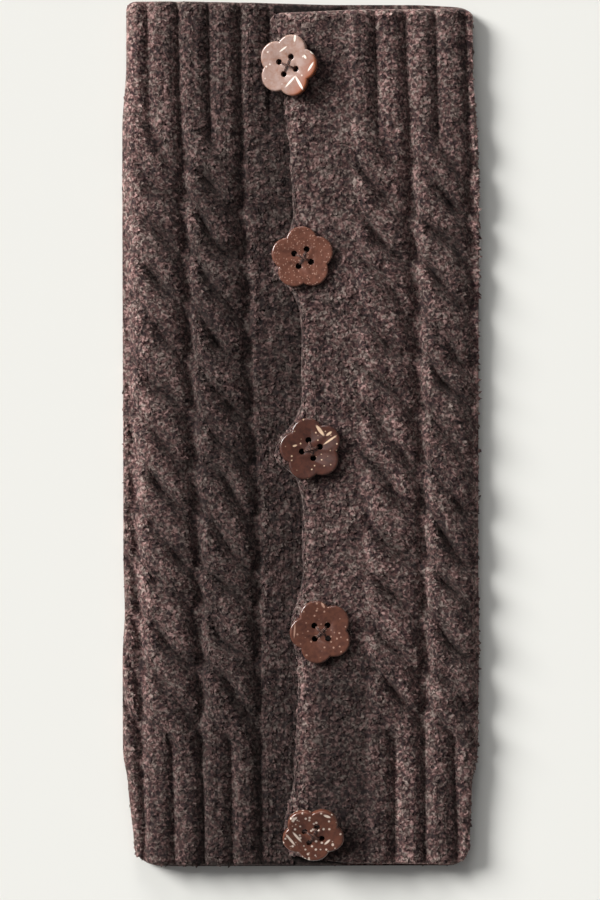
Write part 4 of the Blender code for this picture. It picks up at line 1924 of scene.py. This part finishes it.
BUTTON_FINISHES = (
    CoconutShell(
        "pale_coconut_shell",
        face="#a88b80",
        deep="#976f5c",
        fleck="#f7e9dc",
        fleck_cell=3.0,
        fleck_size=0.05,
        # Pale lines on the shell; the short arc on the upper left petal is a painted glint.
        veins_and_glints=(
            VeinAndGlint(0.5, -5.7, 48.0, 5.2, 0.7),
            VeinAndGlint(3.6, -6.2, -61.0, 5.6, 0.9),
            # A painted glint.
            VeinAndGlint(-2.0, 5.7, 36.0, 3.2, 0.6),
            VeinAndGlint(7.6, -0.6, 58.0, 3.6, 0.7),
            VeinAndGlint(2.1, 9.4, 84.0, 2.6, 0.8),
            VeinAndGlint(5.6, 2.9, -62.0, 1.6, 0.8),
            VeinAndGlint(8.0, 4.3, -40.0, 1.7, 0.7),
        ),
        bark="#904c29",
    ),
    CoconutShell("red_coconut_shell", "#734636", "#5b3427", "#b38a78", 0.95, 0.17),
    CoconutShell(
        "dark_coconut_shell",
        face="#522c20",
        deep="#3b1e16",
        fleck="#e0bfa0",
        fleck_cell=2.0,
        fleck_size=0.09,
        veins_and_glints=(
            VeinAndGlint(3.1, 6.5, -53.0, 4.4, 1.2),
            VeinAndGlint(6.6, 3.2, 35.0, 5.4, 0.7),
            VeinAndGlint(6.2, 5.4, 37.0, 2.4, 0.9),
            VeinAndGlint(-5.7, 1.2, 15.0, 1.6, 0.7),
        ),
    ),
    CoconutShell(
        "brown_coconut_shell",
        face="#643b2c",
        deep="#4d2a20",
        fleck="#b48c79",
        fleck_cell=1.9,
        fleck_size=0.13,
        # Both pale lines are painted highlights: an arc along the left petal's edge and a glint at the top.
        veins_and_glints=(VeinAndGlint(-9.3, 0.3, 86.0, 5.0, 0.6), VeinAndGlint(0.6, 9.3, -60.0, 2.2, 0.9)),
    ),
    CoconutShell(
        "veined_coconut_shell",
        face="#704332",
        deep="#532d22",
        fleck="#f0dccb",
        fleck_cell=1.7,
        fleck_size=0.2,
        veins_and_glints=(
            VeinAndGlint(-5.6, -1.4, -49.0, 4.6, 0.8),
            VeinAndGlint(-7.9, -2.4, -51.0, 5.0, 0.8),
            VeinAndGlint(4.9, -3.2, 42.0, 2.6, 0.8),
            VeinAndGlint(-6.6, 5.0, 40.0, 2.4, 0.9),
            VeinAndGlint(4.8, 6.0, -20.0, 2.6, 0.9),
        ),
    ),
)


@dataclass
class Studio:
    """The pale floor, the soft light from the upper left and the camera straight above."""

    frame_height: float = 315.0
    centre_x: float = -0.2
    centre_y: float = -5.6
    focus_height: float = 6.0
    camera_distance: float = 1700.0
    sensor: float = 36.0
    suns: tuple[Sun, ...] = (Sun("key_light", 5.06, 62.5, 30.0), Sun("top_light", 0.9, 66.0, 86.0))
    sun_size: float = 27.0
    box_width: float = 0.5
    box_length: float = 0.7
    box_strength: float = 0.8
    box_lean: float = radians(28.0)
    box_distance: float = 1.2
    box_up: float = 0.13
    air: str = "#fbfbff"
    fill: float = 0.155
    floor: str = "#ecebe5"
    floor_size: float = 6.0
    floor_drop: float = 0.1
    floor_roughness: float = 0.95
    floor_specular: float = 0.1

    def lay_floor(self) -> None:
        """Makes the floor, just under the leg warmer."""
        bpy.ops.object.select_all(action="DESELECT")
        bpy.ops.mesh.primitive_plane_add(size=self.floor_size, location=(0.0, 0.0, -self.floor_drop * MM))
        ground = bpy.context.object
        ground.name = "studio_floor"
        made, _, shader = new_material("matt_white_paper")
        shader.inputs["Base Color"].default_value = linear(self.floor)
        shader.inputs["Roughness"].default_value = self.floor_roughness
        shader.inputs["Specular IOR Level"].default_value = self.floor_specular
        ground.data.materials.append(made)

    def add_lights(self) -> None:
        """Makes the two suns, the softbox that the buttons mirror, and the light of the air."""
        for sun in self.suns:
            lamp = bpy.data.lights.new(sun.name, "SUN")
            lamp.energy = sun.strength
            lamp.angle = radians(self.sun_size)
            add_piece(sun.name, lamp).rotation_euler = (0.0, -radians(sun.lean), -radians(sun.turn))
        box = bpy.data.lights.new("gloss_softbox", "AREA")
        box.shape = "RECTANGLE"
        box.size = self.box_width
        box.size_y = self.box_length
        box.energy = self.box_strength
        holder = add_piece("gloss_softbox", box)
        far = self.box_distance
        holder.location = (-far * sin(self.box_lean), self.box_up, far * cos(self.box_lean))
        holder.rotation_euler = (0.0, -self.box_lean, 0.0)
        world = bpy.data.worlds.new("studio_air")
        world.use_nodes = True
        air = world.node_tree.nodes["Background"]
        air.inputs["Color"].default_value = linear(self.air)
        air.inputs["Strength"].default_value = self.fill
        bpy.context.scene.world = world

    def add_camera(self) -> None:
        """Makes the camera, with a long lens, and leaves its colours plain."""
        camera = bpy.data.cameras.new("camera")
        camera.sensor_width = self.sensor
        camera.lens = self.sensor * self.camera_distance / self.frame_height
        camera.clip_start = 0.05
        camera.clip_end = 20.0
        holder = add_piece("camera", camera)
        height = self.camera_distance + self.focus_height
        holder.location = (self.centre_x * MM, self.centre_y * MM, height * MM)
        bpy.context.scene.camera = holder
        bpy.context.scene.view_settings.view_transform = "Standard"

    def build(self) -> None:
        """Makes the floor, lights, air and camera."""
        self.lay_floor()
        self.add_lights()
        self.add_camera()


def main() -> None:
    """Builds the leg warmer's looks piece by piece."""
    logging.basicConfig(level=logging.INFO, format="%(name)s: %(message)s")
    form = KnitForm()
    wool = HeatherWool().material()
    layers = WrapPanel(form, PaintedLightAndShade(form), wool).build()
    nap = WoolNap(wool)
    for seed, (piece, skin) in enumerate(layers):
        fibres = nap.grow(piece.name.replace("knit", "nap"), skin, NAP_COUNTS[piece.name], 10 + seed)
    maker = ButtonMaker(form)
    blank = maker.blank()
    thread = SewingThread().material()
    for number, finish in enumerate(BUTTON_FINISHES, start=1):
        button = maker.button(number, blank, finish)
        sewn = maker.thread(number, thread)
        LOG.info("%s and %s: %d faces", button.name, sewn.name, len(button.data.polygons))
    bpy.data.objects.remove(blank, do_unlink=True)
    Studio().build()


if __name__ == "__main__":
    main()
